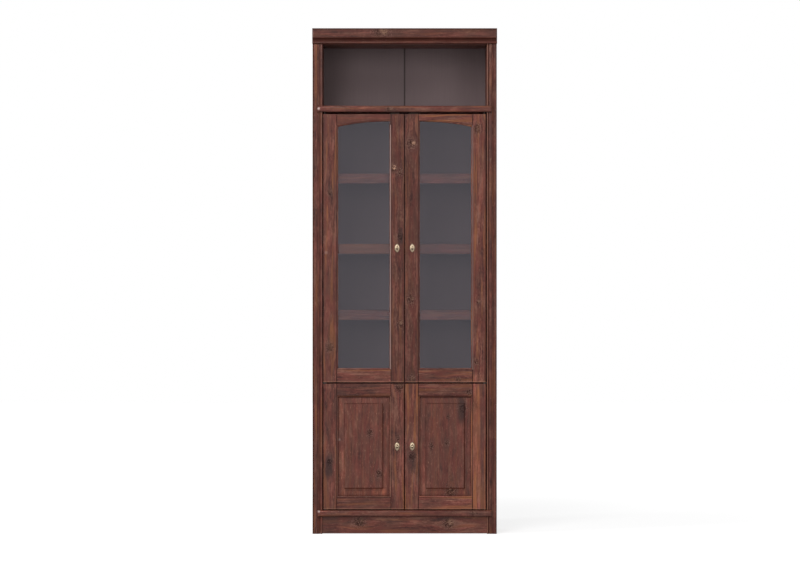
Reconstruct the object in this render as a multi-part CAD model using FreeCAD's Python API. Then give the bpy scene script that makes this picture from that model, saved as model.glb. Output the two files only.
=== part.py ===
import FreeCAD, Part
import math
import os

# Tall bookcase in stained pine: an open compartment on top, two glazed doors with arched
# top rails below it, and two panelled doors at the foot. All sizes are in millimetres.
# X runs to the right, Y to the back, Z up. The origin is on the floor, in the middle of
# the whole thing, knobs included.

# ---- overall ----
total_height = 2200.0
body_width = 802.0            # over the two end panels
carcass_depth = 290.0         # front edges of the sides to the back of the case
end_panel_thickness = 21.0
side_thickness = 22.0
board_thickness = 22.0
thick_board = 27.0            # counter board, bottom board and their nosings

# ---- heights, from the floor up ----
plinth_height = 76.0
bottom_gap = 4.0              # under the lower doors
lower_door_height = 546.0
middle_gap = 7.0              # between the lower and the upper doors
top_gap = 9.0                 # over the upper doors
open_height = 270.0           # clear height of the open compartment
cornice_height = 67.0

# ---- case details ----
end_round = 7.0               # rounded outer front edge of the end panels
joint_chamfer = 1.5           # on the end panel, so its joint with the side is a V
joint_depth = 3.2
bead_width = 6.0              # bead beside the joint, on the front edge of the side
bead_height = 2.4
hollow_depth = 3.8            # hollow between the two beads of the side
inner_bead = 7.0
inner_bead_height = 2.2
nosing_overhang = 14.0        # in front of the sides
nosing_inset = 21.0           # nosing end to the outer face of the end panel
nosing_end_round = 11.0
nosing_round = 9.0
cornice_overhang = 1.0        # past the end panels
cornice_thickness = 16.0
cornice_end_round = 7.0
cornice_bead = 8.6            # heights of the bead, the fillet and the cove, from below
cornice_fillet = 4.4
cornice_cove = 10.0
cornice_bead_out = 9.0        # how far the bead and the fillet stand out from the sides
cornice_fillet_out = 3.2
cove_middle_out = 6.4         # the cove's middle, out from the sides and above its foot
cove_middle_up = 8.2
cornice_arris = 1.0
cornice_top_round = 7.7
cornice_drop = 8.0            # end panels stop this far under the cornice's top
plinth_thickness = 20.0
plinth_setback = 4.0
floor_clearance = 2.0         # under the plinth, so the sides carry the case

# ---- back ----
back_thickness = 4.0
back_recess = 2.0             # back panels lie this far inside the back edges
back_rebate = 9.0             # how far they reach over the sides
back_lower_edge = 70.0        # height of their lower edge
back_fit = 0.5
strip_width = 6.5             # joint strip between the two back panels
strip_flange = 1.2
strip_web = 2.0

# ---- shelves ----
shelf_thickness = 20.0
lip_height = 43.0
lip_thickness = 18.0
lip_round = 2.5
shelf_setback = 30.0          # lip's face behind the front edges of the sides
shelf_side_gap = 1.0
shelf_back_gap = 2.0
upper_shelf_tops = [1569.0, 1262.0, 974.0]
lower_shelf_top = 392.0
pin_diameter = 5.0
pin_length = 18.0
pin_hole_depth = 10.0
pin_hole_fit = 0.05
pin_pitch = 32.0              # each shelf can go one hole up or down
pin_setback = 34.0            # pins to the front and back edge of the shelf

# ---- doors ----
door_thickness = 22.0
door_setback = 2.0            # behind the front edges of the sides
hinge_gap = 4.0
meeting_gap = 3.0
door_edge_round = 2.5
board_gap = 3.0               # between the doors' backs and the middle board
stile_flat = 58.0             # flat face of the stiles, without the moulding
moulding_width = 6.5
moulding_round = 5.2
quirk_width = 1.6
quirk_depth = 2.0
joint_line = 1.2              # half the V line where a rail meets a stile
joint_line_depth = 1.8
top_rail_least = 32.0         # arched rail at its narrowest, next to the meeting stile
arch_rise = 23.5
arch_level = 14.0             # straight run at the arch's top, next to the meeting stile
glazed_bottom_rail = 61.0
panel_rail = 58.0
tenon_length = 25.0
tenon_thickness = 7.0
tenon_shoulder = 8.0
rebate_width = 8.0
lip_in_front_of_glass = 10.0
glass_thickness = 4.0
glass_fit = 1.0
bead_thickness = 7.0

# ---- door panels ----
panel_groove = 8.0
panel_tongue = 6.0
panel_tongue_depth = 9.0      # tongue's front face behind the door's face
panel_fit = 1.0
bevel_width = 28.0
field_depth = 2.0             # field's face behind the door's face
field_step = 3.5
panel_shoulder = 0.5          # between the frame's moulding and the foot of the bevel
panel_back_fit = 1.0
panel_back_depth = 18.0       # panel's back behind the door's face

# ---- pivots ----
pivot_inset = 11.0            # axis to the side's inner face
pivot_depth = 8.5             # axis behind the front edges of the sides
pivot_pin_diameter = 5.0
pivot_running_fit = 0.05      # radial
pivot_engagement = 11.0       # length of pin inside a bush
pivot_anchor = 14.0           # length of pin inside a board
bush_diameter = 8.0
bush_length = 13.0
bush_flange_diameter = 10.0
bush_flange_thickness = 1.0
seat_gap = 0.3                # between a bush and what it turns over
collar_diameter = 9.0
leaf_thickness = 3.0
leaf_length = 56.0
leaf_width = 17.0
leaf_wall_gap = 0.2
leaf_setback = 3.0            # leaf's front end behind the front edges of the sides
leaf_screw_diameter = 3.5
leaf_screw_length = 15.0
leaf_screw_spacing = 14.0
leaf_screw_margin = 6.0       # rear screw to the leaf's rear end

# ---- catches ----
catch_length = 44.0
catch_height = 20.0
catch_depth = 14.0
catch_centre = 42.0           # from the middle of the case
catch_gap = 0.3
strike_thickness = 1.2
strike_length = 36.0
strike_width = 12.0
strike_edge_gap = 0.5         # under the door's top edge
strike_screw_diameter = 2.8
strike_screw_length = 7.0

# ---- knobs ----
knob_from_middle = 33.0
upper_knob_height = 1244.0
lower_knob_height = 381.0
knob_projection = 22.0        # from the door's face
knob_diameter = 12.5
knob_neck_diameter = 6.0
knob_foot_diameter = 11.0
rosette_width = 22.5
rosette_height = 39.0
rosette_thickness = 1.6
knob_screw_diameter = 4.0
knob_screw_head = 8.0
knob_screw_head_height = 2.2

# ---- wall fixing ----
bracket_from_side = 58.0      # bracket's middle to the side's inner face
bracket_width = 30.0
bracket_leg = 36.0
bracket_foot = 34.0
bracket_thickness = 2.0
bracket_hole_height = 22.0    # wall screw hole above the top panel
bracket_hole_diameter = 5.5
bracket_screw_from_wall = 20.0
wood_screw_diameter = 4.0
wood_screw_length = 16.0
wood_screw_head = 7.6
wood_screw_head_height = 2.0
foot_screw_spacing = 14.0

# ---- back screws ----
back_screw_diameter = 3.0
back_screw_length = 18.0
back_screw_head = 6.0
back_screw_head_height = 1.6
back_screw_from_middle = 22.0
back_screw_from_side = 23.0   # to the side's inner face; a third column lies halfway

# ---- places worked out from the sizes above ----
half_body = body_width / 2
side_outer = half_body - end_panel_thickness
wall_x = side_outer - side_thickness
front_y = -(carcass_depth - (knob_projection - door_setback)) / 2
bottom_board_top = plinth_height + thick_board
lower_door_bottom = bottom_board_top + bottom_gap
lower_door_top = lower_door_bottom + lower_door_height
upper_door_bottom = lower_door_top + middle_gap
leaf_top = (lower_door_top + upper_door_bottom + leaf_thickness) / 2
middle_board_top = leaf_top - leaf_thickness
cornice_bottom = total_height - cornice_height
counter_top = cornice_bottom - open_height
counter_bottom = counter_top - thick_board
upper_door_top = counter_bottom - top_gap
top_panel_top = cornice_bottom + board_thickness
back_front = carcass_depth - back_recess - back_thickness
back_rear = carcass_depth - back_recess
door_back = door_setback + door_thickness
board_front = door_back + board_gap
door_outer_x = -(wall_x - hinge_gap)
door_inner_x = -meeting_gap / 2
stile_width = stile_flat + moulding_width
sight_outer_x = door_outer_x + stile_width
sight_inner_x = door_inner_x - stile_width
sight_width = sight_inner_x - sight_outer_x
pivot_x = -(wall_x - pivot_inset)
bracket_centre = wall_x - bracket_from_side
strip_front = back_front - strip_flange
corner_share = 1 - math.sin(math.pi / 4)   # middle of a quarter round over its radius
spare = 1.0                   # how far cutters reach past what they cut
tiny = 1e-6


# ---- helpers: x to the right, d behind the front edges of the sides, z up ----
def block(x0, x1, d0, d1, z0, z1):
    corner = FreeCAD.Vector(x0, front_y + d0, z0)
    return Part.makeBox(x1 - x0, d1 - d0, z1 - z0, corner)


def outline(points):
    """Closed wire. A point is (place) for a straight run or (middle, place) for an arc."""
    edges = []
    here = points[0][-1]
    for step in points[1:]:
        there = step[-1]
        if len(step) == 1:
            edges.append(Part.LineSegment(here, there).toShape())
        else:
            edges.append(Part.Arc(here, step[0], there).toShape())
        here = there
    if here.distanceToPoint(points[0][-1]) > tiny:
        edges.append(Part.LineSegment(here, points[0][-1]).toShape())
    return Part.Wire(edges)


def plan(x, d, z=0.0):
    return FreeCAD.Vector(x, front_y + d, z)


def raised(points, z0, z1):
    """Plan outline of (x, d) steps carried from height z0 up to z1."""
    steps = [tuple(plan(x, d, z0) for x, d in step) for step in points]
    face = Part.Face(outline(steps))
    return face.extrude(FreeCAD.Vector(0, 0, z1 - z0))


def carried_across(points, x0, x1):
    """Cross-section of (d, z) steps carried from x0 to x1."""
    steps = [tuple(plan(x0, d, z) for d, z in step) for step in points]
    face = Part.Face(outline(steps))
    return face.extrude(FreeCAD.Vector(x1 - x0, 0, 0))


def set_back(points, d0, d1):
    """Front view of (x, z) steps carried from depth d0 to d1."""
    steps = [tuple(plan(x, d0, z) for x, z in step) for step in points]
    face = Part.Face(outline(steps))
    return face.extrude(FreeCAD.Vector(0, d1 - d0, 0))


def upright_rod(x, d, z0, z1, diameter):
    return Part.makeCylinder(diameter / 2, z1 - z0, plan(x, d, z0))


def rod_in_depth(x, z, d0, d1, diameter):
    return Part.makeCylinder(diameter / 2, d1 - d0, plan(x, d0, z), FreeCAD.Vector(0, 1, 0))


def rod_across(d, z, x0, x1, diameter):
    return Part.makeCylinder(diameter / 2, x1 - x0, plan(x0, d, z), FreeCAD.Vector(1, 0, 0))


def mirrored(shape):
    return shape.mirror(FreeCAD.Vector(0, 0, 0), FreeCAD.Vector(1, 0, 0))


def joined(shapes):
    return shapes[0].multiFuse(shapes[1:]).removeSplitter()


def both_sides(shapes):
    return list(shapes) + [mirrored(shape) for shape in shapes]


# ---- screws, as cutters for their holes and as solids ----
def shelf_pin_places():
    """Depth and height of the pins under each shelf."""
    front = shelf_setback + pin_setback
    rear = back_front - shelf_back_gap - pin_setback
    places = []
    for top in upper_shelf_tops + [lower_shelf_top]:
        for depth in (front, rear):
            places.append((depth, top - shelf_thickness - pin_diameter / 2))
    return places


def back_screws():
    """Screws from behind through the back panels into the four fixed boards."""
    heights = [bottom_board_top - thick_board / 2, middle_board_top - board_thickness / 2,
               counter_top - thick_board / 2, top_panel_top - board_thickness / 2]
    outer = wall_x - back_screw_from_side
    columns = [back_screw_from_middle, (back_screw_from_middle + outer) / 2, outer]
    screws = []
    for height in heights:
        for x in columns:
            shank = rod_in_depth(x, height, back_rear - back_screw_length, back_rear,
                                 back_screw_diameter)
            head = rod_in_depth(x, height, back_rear, back_rear + back_screw_head_height,
                                back_screw_head)
            screws.append(shank.fuse(head))
    return both_sides(screws)


def leaf_screws():
    """Countersunk screws that hold the middle pivot leaves, left side."""
    screws = []
    for row in range(2):
        depth = leaf_setback + leaf_length - leaf_screw_margin - row * leaf_screw_spacing
        shank = upright_rod(pivot_x, depth, leaf_top - leaf_screw_length, leaf_top,
                            leaf_screw_diameter)
        head = Part.makeCone(leaf_screw_diameter / 2, leaf_screw_diameter,
                             leaf_screw_diameter / 2,
                             plan(pivot_x, depth, leaf_top - leaf_screw_diameter / 2))
        screws.append(shank.fuse(head))
    return screws


def bracket_screws():
    """Screws that hold the wall brackets down, left side."""
    screws = []
    top = top_panel_top + bracket_thickness
    for sign in (-1, 1):
        x = -bracket_centre + sign * foot_screw_spacing / 2
        depth = carcass_depth - bracket_screw_from_wall
        shank = upright_rod(x, depth, top - wood_screw_length, top, wood_screw_diameter)
        head = upright_rod(x, depth, top, top + wood_screw_head_height, wood_screw_head)
        screws.append(shank.fuse(head))
    return screws


# ---- case ----
def end_panel():
    outer = -half_body
    inner = -side_outer
    middle = end_round * corner_share
    points = [((outer, end_round),),
              ((outer + middle, middle), (outer + end_round, 0)),
              ((inner - joint_chamfer, 0),),
              ((inner, joint_depth),),
              ((inner, carcass_depth),),
              ((outer, carcass_depth),)]
    return raised(points, 0, total_height - cornice_drop)


def side_front_profile():
    """Front edge of the left side in plan, from the joint to the inner face: a bead beside
    the joint, a hollow, and a wider bead on the inner edge."""
    bead_end = -side_outer + bead_width
    hollow_end = -wall_x - inner_bead
    return [((-side_outer, bead_height),),
            ((-side_outer + bead_width / 2, 0), (bead_end, bead_height)),
            (((bead_end + hollow_end) / 2, hollow_depth), (hollow_end, inner_bead_height)),
            ((-wall_x - inner_bead / 2, 0), (-wall_x, inner_bead_height))]


def side_panel():
    """One side: beaded front edge, rebate for the back and rows of shelf pin holes."""
    points = side_front_profile()
    points += [((-wall_x, back_front),),
               ((-wall_x - back_rebate, back_front),),
               ((-wall_x - back_rebate, carcass_depth),),
               ((-side_outer, carcass_depth),)]
    panel = raised(points, 0, top_panel_top)
    holes = []
    for depth, height in shelf_pin_places():
        for row in (-1, 0, 1):
            holes.append(rod_across(depth, height + row * pin_pitch, -wall_x - pin_hole_depth,
                                    -wall_x, pin_diameter + 2 * pin_hole_fit))
    return panel.cut(Part.makeCompound(holes))


def strip_passage():
    """Room for the front flange of the joint strip."""
    return block(-strip_width / 2, strip_width / 2, strip_front, back_front,
                 0, total_height)


def fixed_board(top, thickness, front):
    board = block(-wall_x, wall_x, front, back_front, top - thickness, top)
    return board.cut(strip_passage())


def nosing(top):
    """Rounded moulding in front of a board, with rounded ends that lap over the sides."""
    half = half_body - nosing_inset
    low = top - thick_board
    face = -nosing_overhang
    middle = nosing_round * corner_share
    section = [((0, low),),
               ((face + nosing_round, low),),
               ((face + middle, low + middle), (face, low + nosing_round)),
               ((face, top - nosing_round),),
               ((face + middle, top - middle), (face + nosing_round, top)),
               ((0, top),)]
    bar = carried_across(section, -half, half)
    return bar.common(rounded_plan(half, nosing_overhang, nosing_end_round, low, top))


def rounded_plan(half, overhang, radius, z0, z1):
    """Plan outline in front of the sides with two rounded front corners."""
    cut = radius * corner_share
    points = [((-half, 0),),
              ((-half, radius - overhang),),
              ((-half + cut, cut - overhang), (-half + radius, -overhang)),
              ((half - radius, -overhang),),
              ((half - cut, cut - overhang), (half, radius - overhang)),
              ((half, 0),)]
    return raised(points, z0, z1)


def cornice():
    """Crown moulding: from the bottom a bead, a fillet, a cove and a tall fascia with a
    rounded top edge."""
    z0 = cornice_bottom
    z1 = z0 + cornice_bead
    z2 = z1 + cornice_fillet
    z3 = z2 + cornice_cove
    face = -cornice_thickness
    foot = -cornice_fillet_out
    small = cornice_top_round * corner_share
    section = [((0, z0),),
               ((foot, z0),),
               ((-cornice_bead_out, (z0 + z1) / 2), (foot, z1)),
               ((foot, z2),),
               ((-cove_middle_out, z2 + cove_middle_up), (face + cornice_arris, z3)),
               ((face, z3 + cornice_arris),),
               ((face, total_height - cornice_top_round),),
               ((face + small, total_height - small),
                (face + cornice_top_round, total_height)),
               ((0, total_height),)]
    half = half_body + cornice_overhang
    bar = carried_across(section, -half, half)
    return bar.common(rounded_plan(half, cornice_thickness, cornice_end_round, z0,
                                   total_height))


def counter_board():
    board = fixed_board(counter_top, thick_board, 0)
    pins = both_sides([upright_rod(pivot_x, pivot_depth, counter_bottom,
                                   counter_bottom + pivot_anchor, pivot_pin_diameter)])
    return board.cut(Part.makeCompound(pins + back_screws()))


def bottom_board():
    board = fixed_board(bottom_board_top, thick_board, 0)
    pins = both_sides([upright_rod(pivot_x, pivot_depth, bottom_board_top - pivot_anchor,
                                   bottom_board_top, pivot_pin_diameter)])
    return board.cut(Part.makeCompound(pins + back_screws()))


def middle_board():
    board = fixed_board(middle_board_top, board_thickness, board_front)
    return board.cut(Part.makeCompound(both_sides(leaf_screws()) + back_screws()))


def top_panel():
    board = fixed_board(top_panel_top, board_thickness, 0)
    return board.cut(Part.makeCompound(both_sides(bracket_screws()) + back_screws()))


def plinth():
    return block(-wall_x, wall_x, plinth_setback, plinth_setback + plinth_thickness,
                 floor_clearance, plinth_height)


def back_panel():
    """Left back panel, let into the side's rebate and the joint strip."""
    sheet = block(-wall_x - back_rebate + back_fit, -strip_web / 2, back_front, back_rear,
                  back_lower_edge, top_panel_top)
    return sheet.cut(Part.makeCompound(back_screws()))


def joint_strip():
    """H-section strip that holds the meeting edges of the two back panels."""
    z0 = back_lower_edge
    z1 = top_panel_top
    front = block(-strip_width / 2, strip_width / 2, strip_front, back_front, z0, z1)
    web = block(-strip_web / 2, strip_web / 2, back_front, back_rear, z0, z1)
    rear = block(-strip_width / 2, strip_width / 2, back_rear, back_rear + strip_flange,
                 z0, z1)
    return joined([front, web, rear])


def shelf(top):
    half = wall_x - shelf_side_gap
    return block(-half, half, shelf_setback + lip_thickness, back_front - shelf_back_gap,
                 top - shelf_thickness, top)


def shelf_lip(top):
    half = wall_x - shelf_side_gap
    lip = block(-half, half, shelf_setback, shelf_setback + lip_thickness,
                top - lip_height, top)
    front = [edge for edge in lip.Edges
             if abs(edge.BoundBox.YMax - (front_y + shelf_setback)) < tiny
             and edge.BoundBox.XLength > half]
    return lip.makeFillet(lip_round, front)


def shelf_pins():
    pins = []
    for depth, height in shelf_pin_places():
        start = -wall_x - pin_hole_depth
        pins.append(rod_across(depth, height, start, start + pin_length, pin_diameter))
    return both_sides(pins)


# ---- pivots and catches ----
def board_pivot_pins():
    """Pins in the counter board and in the bottom board, left side."""
    top_pin = upright_rod(pivot_x, pivot_depth, upper_door_top - pivot_engagement,
                          counter_bottom + pivot_anchor, pivot_pin_diameter)
    low_pin = upright_rod(pivot_x, pivot_depth, bottom_board_top - pivot_anchor,
                          lower_door_bottom + pivot_engagement, pivot_pin_diameter)
    collar = upright_rod(pivot_x, pivot_depth, bottom_board_top,
                         lower_door_bottom - bush_flange_thickness - seat_gap,
                         collar_diameter)
    return [top_pin, low_pin.fuse(collar)]


def middle_pivot():
    """Steel leaf on the middle board with one pin for each door, left side."""
    x0 = -wall_x + leaf_wall_gap
    leaf = block(x0, x0 + leaf_width, leaf_setback, leaf_setback + leaf_length,
                 middle_board_top, leaf_top)
    leaf = leaf.cut(Part.makeCompound(leaf_screws()))
    pin = upright_rod(pivot_x, pivot_depth, lower_door_top - pivot_engagement,
                      upper_door_bottom + pivot_engagement, pivot_pin_diameter)
    collar = upright_rod(pivot_x, pivot_depth, leaf_top,
                         upper_door_bottom - bush_flange_thickness - seat_gap,
                         collar_diameter)
    return joined([leaf, pin, collar])


def bush(z_edge, upward):
    """Flanged bush in the end of a stile; upward is 1 where the hole runs up from the edge."""
    wide = pivot_pin_diameter + 2 * pivot_running_fit
    far = z_edge + upward * bush_length
    skirt = z_edge - upward * bush_flange_thickness
    sleeve = upright_rod(pivot_x, pivot_depth, min(z_edge, far), max(z_edge, far),
                         bush_diameter)
    flange = upright_rod(pivot_x, pivot_depth, min(z_edge, skirt), max(z_edge, skirt),
                         bush_flange_diameter)
    bore = upright_rod(pivot_x, pivot_depth, min(skirt, far), max(skirt, far), wide)
    return sleeve.fuse(flange).cut(bore)


def bush_hole(z_edge, upward):
    far = z_edge + upward * bush_length
    return upright_rod(pivot_x, pivot_depth, min(z_edge, far), max(z_edge, far),
                       bush_diameter)


def catch(top):
    """Magnetic catch under a board, left side."""
    front = door_back + strike_thickness + catch_gap
    return block(-catch_centre - catch_length / 2, -catch_centre + catch_length / 2,
                 front, front + catch_depth, top - catch_height, top)


def strike_screw(centre_z):
    return rod_in_depth(-catch_centre, centre_z, door_back - strike_screw_length, door_back,
                        strike_screw_diameter)


def strike(centre_z):
    """Steel plate on the back of a door, held by one flush screw, facing the catch."""
    plate = block(-catch_centre - strike_length / 2, -catch_centre + strike_length / 2,
                  door_back, door_back + strike_thickness,
                  centre_z - strike_width / 2, centre_z + strike_width / 2)
    return plate.fuse(strike_screw(centre_z))


def wall_bracket():
    """Steel angle on the top panel with a hole for a screw into the wall, left side."""
    x0 = -bracket_centre - bracket_width / 2
    x1 = -bracket_centre + bracket_width / 2
    foot = block(x0, x1, carcass_depth - bracket_foot, carcass_depth, top_panel_top,
                 top_panel_top + bracket_thickness)
    leg = block(x0, x1, carcass_depth - bracket_thickness, carcass_depth, top_panel_top,
                top_panel_top + bracket_leg)
    hole = rod_in_depth(-bracket_centre, top_panel_top + bracket_hole_height,
                        carcass_depth - bracket_thickness, carcass_depth,
                        bracket_hole_diameter)
    cutters = Part.makeCompound([hole] + bracket_screws())
    return joined([foot, leg]).cut(cutters)


# ---- doors, all left; the right ones are mirrored ----
def arch_drop(x):
    """How far the arched edge at x lies under its level run."""
    span = sight_width - arch_level
    radius = (span ** 2 + arch_rise ** 2) / (2 * arch_rise)
    along = sight_inner_x - arch_level - x
    return radius - math.sqrt(radius ** 2 - along ** 2)


def opening(grow, z_low, z_high, arched, d0, d1):
    """Sight opening, grown all round, as a solid between two depths."""
    x0 = sight_outer_x - grow
    x1 = sight_inner_x + grow
    if not arched:
        return block(x0, x1, d0, d1, z_low - grow, z_high + grow)
    level_x = sight_inner_x - arch_level
    middle = (x0 + level_x) / 2
    top = z_high + grow
    points = [((x0, z_low - grow),),
              ((x0, top - arch_drop(x0)),),
              ((middle, top - arch_drop(middle)), (level_x, top)),
              ((x1, top),),
              ((x1, z_low - grow),)]
    return set_back(points, d0, d1)


def door_blank(z0, z1):
    blank = block(door_outer_x, door_inner_x, door_setback, door_back, z0, z1)
    long_edges = [edge for edge in blank.Edges if edge.BoundBox.ZLength > (z1 - z0) / 2
                  and edge.BoundBox.YMin < front_y + door_setback + tiny]
    return blank.makeFillet(door_edge_round, long_edges)


def door_frame(z0, z1, sight_low, sight_high, arched):
    """Door with its moulded sight opening, before it is divided into stiles and rails."""
    frame = door_blank(z0, z1)
    frame = frame.cut(opening(0, sight_low, sight_high, arched, door_setback, door_back))
    face_y = front_y + door_setback
    sight_edges = []
    for edge in frame.Edges:
        box = edge.BoundBox
        if box.YMax > face_y + tiny:
            continue
        if box.XMin < sight_outer_x - tiny or box.XMax > sight_inner_x + tiny:
            continue
        sight_edges.append(edge)
    frame = frame.makeFillet(moulding_round, sight_edges)
    far = opening(moulding_width + quirk_width / 2, sight_low, sight_high, arched,
                  door_setback, door_setback + quirk_depth)
    near = opening(moulding_width - quirk_width / 2, sight_low, sight_high, arched,
                   door_setback, door_setback + quirk_depth)
    return frame.cut(far.cut(near))


def glass_room(sight_low, sight_high):
    """Rectangular rebate at the back, which takes the glass and its beads."""
    return opening(rebate_width, sight_low, sight_high, False,
                   door_setback + lip_in_front_of_glass, door_back)


def panel_room(sight_low, sight_high):
    return opening(panel_groove, sight_low, sight_high, False,
                   door_setback + panel_tongue_depth,
                   door_setback + panel_tongue_depth + panel_tongue)


def stile_region(outer, z0, z1, sight_low, low_arch, sight_high):
    """Front view of a stile, mitred where its moulding meets the rails' moulding."""
    if outer:
        edge = door_outer_x - spare
        flat = door_outer_x + stile_flat
        beyond = flat + 2 * moulding_width
        corner = low_arch
    else:
        edge = door_inner_x + spare
        flat = door_inner_x - stile_flat
        beyond = flat - 2 * moulding_width
        corner = sight_high
    points = [((edge, z0 - spare),),
              ((flat, z0 - spare),),
              ((flat, sight_low - moulding_width),),
              ((beyond, sight_low + moulding_width),),
              ((beyond, corner - moulding_width),),
              ((flat, corner + moulding_width),),
              ((flat, z1 + spare),),
              ((edge, z1 + spare),)]
    return set_back(points, door_setback - spare, door_back + spare)


def tenon(outer, z0, z1):
    """Rail tenon inside a stile, between heights z0 and z1."""
    middle = door_setback + door_thickness / 2
    if outer:
        x1 = door_outer_x + stile_flat
        x0 = x1 - tenon_length
    else:
        x0 = door_inner_x - stile_flat
        x1 = x0 + tenon_length
    return block(x0, x1, middle - tenon_thickness / 2, middle + tenon_thickness / 2, z0, z1)


def joint_line_cut(x, z0, z1):
    """V groove on the face where a rail meets a stile."""
    points = [((x - joint_line, door_setback),),
              ((x + joint_line, door_setback),),
              ((x, door_setback + joint_line_depth),)]
    return raised(points, z0, z1)


def door_members(z0, z1, sight_low, sight_high, arched, room):
    """Outer stile, inner stile, top rail and bottom rail of one door."""
    low_arch = sight_high - arch_rise if arched else sight_high
    frame = door_frame(z0, z1, sight_low, sight_high, arched)
    frame = frame.cut(room)
    lines = []
    for x, rail_edge in ((door_outer_x + stile_flat, low_arch),
                         (door_inner_x - stile_flat, sight_high)):
        lines.append(joint_line_cut(x, z0, sight_low - moulding_width))
        lines.append(joint_line_cut(x, rail_edge + moulding_width, z1))
    frame = frame.cut(Part.makeCompound(lines))
    outer_region = stile_region(True, z0, z1, sight_low, low_arch, sight_high)
    inner_region = stile_region(False, z0, z1, sight_low, low_arch, sight_high)
    outer = frame.common(outer_region)
    inner = frame.common(inner_region)
    rails = frame.cut(outer_region).cut(inner_region)
    parts = sorted(rails.Solids, key=lambda solid: solid.CenterOfMass.z)
    bottom, top = parts[0], parts[-1]
    low_span = (z0 + tenon_shoulder, sight_low - rebate_width - tenon_shoulder)
    high_span = (sight_high + rebate_width + tenon_shoulder, z1 - tenon_shoulder)
    for is_outer in (True, False):
        low_tenon = tenon(is_outer, *low_span)
        high_tenon = tenon(is_outer, *high_span)
        bottom = bottom.fuse(low_tenon)
        top = top.fuse(high_tenon)
        if is_outer:
            outer = outer.cut(Part.makeCompound([low_tenon, high_tenon]))
        else:
            inner = inner.cut(Part.makeCompound([low_tenon, high_tenon]))
    outer = outer.cut(Part.makeCompound([bush_hole(z0, 1), bush_hole(z1, -1)]))
    return outer, inner, top, bottom


def knob_hole(height):
    return rod_in_depth(-knob_from_middle, height, door_setback, door_back,
                        knob_screw_diameter)


def glass_pane(sight_low, sight_high):
    start = door_setback + lip_in_front_of_glass
    return opening(rebate_width - glass_fit, sight_low, sight_high, False, start,
                   start + glass_thickness)


def glazing_beads(sight_low, sight_high):
    """Four strips behind the glass: two uprights with the two cross strips between them."""
    start = door_setback + lip_in_front_of_glass + glass_thickness
    end = start + bead_thickness
    x0 = sight_outer_x - rebate_width
    x1 = sight_inner_x + rebate_width
    z0 = sight_low - rebate_width
    z1 = sight_high + rebate_width
    return [block(x0, x0 + rebate_width, start, end, z0, z1),
            block(x1 - rebate_width, x1, start, end, z0, z1),
            block(x0 + rebate_width, x1 - rebate_width, start, end, z0, z0 + rebate_width),
            block(x0 + rebate_width, x1 - rebate_width, start, end, z1 - rebate_width, z1)]


def rectangle(grow, sight_low, sight_high, depth):
    x0 = sight_outer_x - grow
    x1 = sight_inner_x + grow
    z0 = sight_low - grow
    z1 = sight_high + grow
    return outline([(plan(x0, depth, z0),), (plan(x1, depth, z0),), (plan(x1, depth, z1),),
                    (plan(x0, depth, z1),)])


def raised_panel(sight_low, sight_high):
    """Panel with a tongue in the frame's groove, a bevel all round and a raised field."""
    tongue = opening(panel_groove - panel_fit, sight_low, sight_high, False,
                     door_setback + panel_tongue_depth,
                     door_setback + panel_tongue_depth + panel_tongue)
    bevel_top = door_setback + field_depth + field_step
    bevel = Part.makeLoft([rectangle(-panel_shoulder, sight_low, sight_high,
                                     door_setback + panel_tongue_depth),
                           rectangle(-bevel_width, sight_low, sight_high, bevel_top)], True)
    field = opening(-bevel_width, sight_low, sight_high, False,
                    door_setback + field_depth, bevel_top)
    back = opening(-panel_back_fit, sight_low, sight_high, False,
                   door_setback + panel_tongue_depth + panel_tongue,
                   door_setback + panel_back_depth)
    return joined([tongue, bevel, field, back])


def rosette(height):
    """Pointed oval plate behind the knob, two arcs that meet in points."""
    x = -knob_from_middle
    half_w = rosette_width / 2
    half_h = rosette_height / 2
    points = [((x, height - half_h),),
              ((x + half_w, height), (x, height + half_h)),
              ((x - half_w, height), (x, height - half_h))]
    plate = set_back(points, door_setback - rosette_thickness, door_setback)
    return plate.cut(knob_turning(height))


def knob_turning(height):
    """Turned knob: foot, neck and rounded head about an axis that points to the front."""
    foot = knob_foot_diameter / 2
    neck = knob_neck_diameter / 2
    head = knob_diameter / 2
    reach = knob_projection
    centre = reach - head
    under_head = centre - math.sqrt(head ** 2 - neck ** 2)
    cone_end = knob_foot_diameter / 3
    steps = [((0, 0),), ((foot, 0),), ((neck, cone_end),), ((neck, under_head),),
             ((head, centre), (0, reach))]
    points = [tuple(FreeCAD.Vector(-knob_from_middle + r, front_y + door_setback - out, height)
                    for r, out in step) for step in steps]
    face = Part.Face(outline(points))
    return face.revolve(plan(-knob_from_middle, door_setback, height),
                        FreeCAD.Vector(0, 1, 0), 360)


def knob(height):
    """Rosette, knob and the machine screw that holds them from inside the door."""
    screw = rod_in_depth(-knob_from_middle, height, door_setback, door_back,
                         knob_screw_diameter)
    head = rod_in_depth(-knob_from_middle, height, door_back,
                        door_back + knob_screw_head_height, knob_screw_head)
    return [rosette(height), knob_turning(height), screw.fuse(head)]


# ---- put together ----
lower_sight_low = lower_door_bottom + panel_rail
lower_sight_high = lower_door_top - panel_rail
upper_sight_low = upper_door_bottom + glazed_bottom_rail
upper_sight_high = upper_door_top - top_rail_least

pieces = {}


def add_pair(name, shape):
    pieces[name.replace("SIDE", "left")] = shape
    pieces[name.replace("SIDE", "right")] = mirrored(shape)


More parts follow.
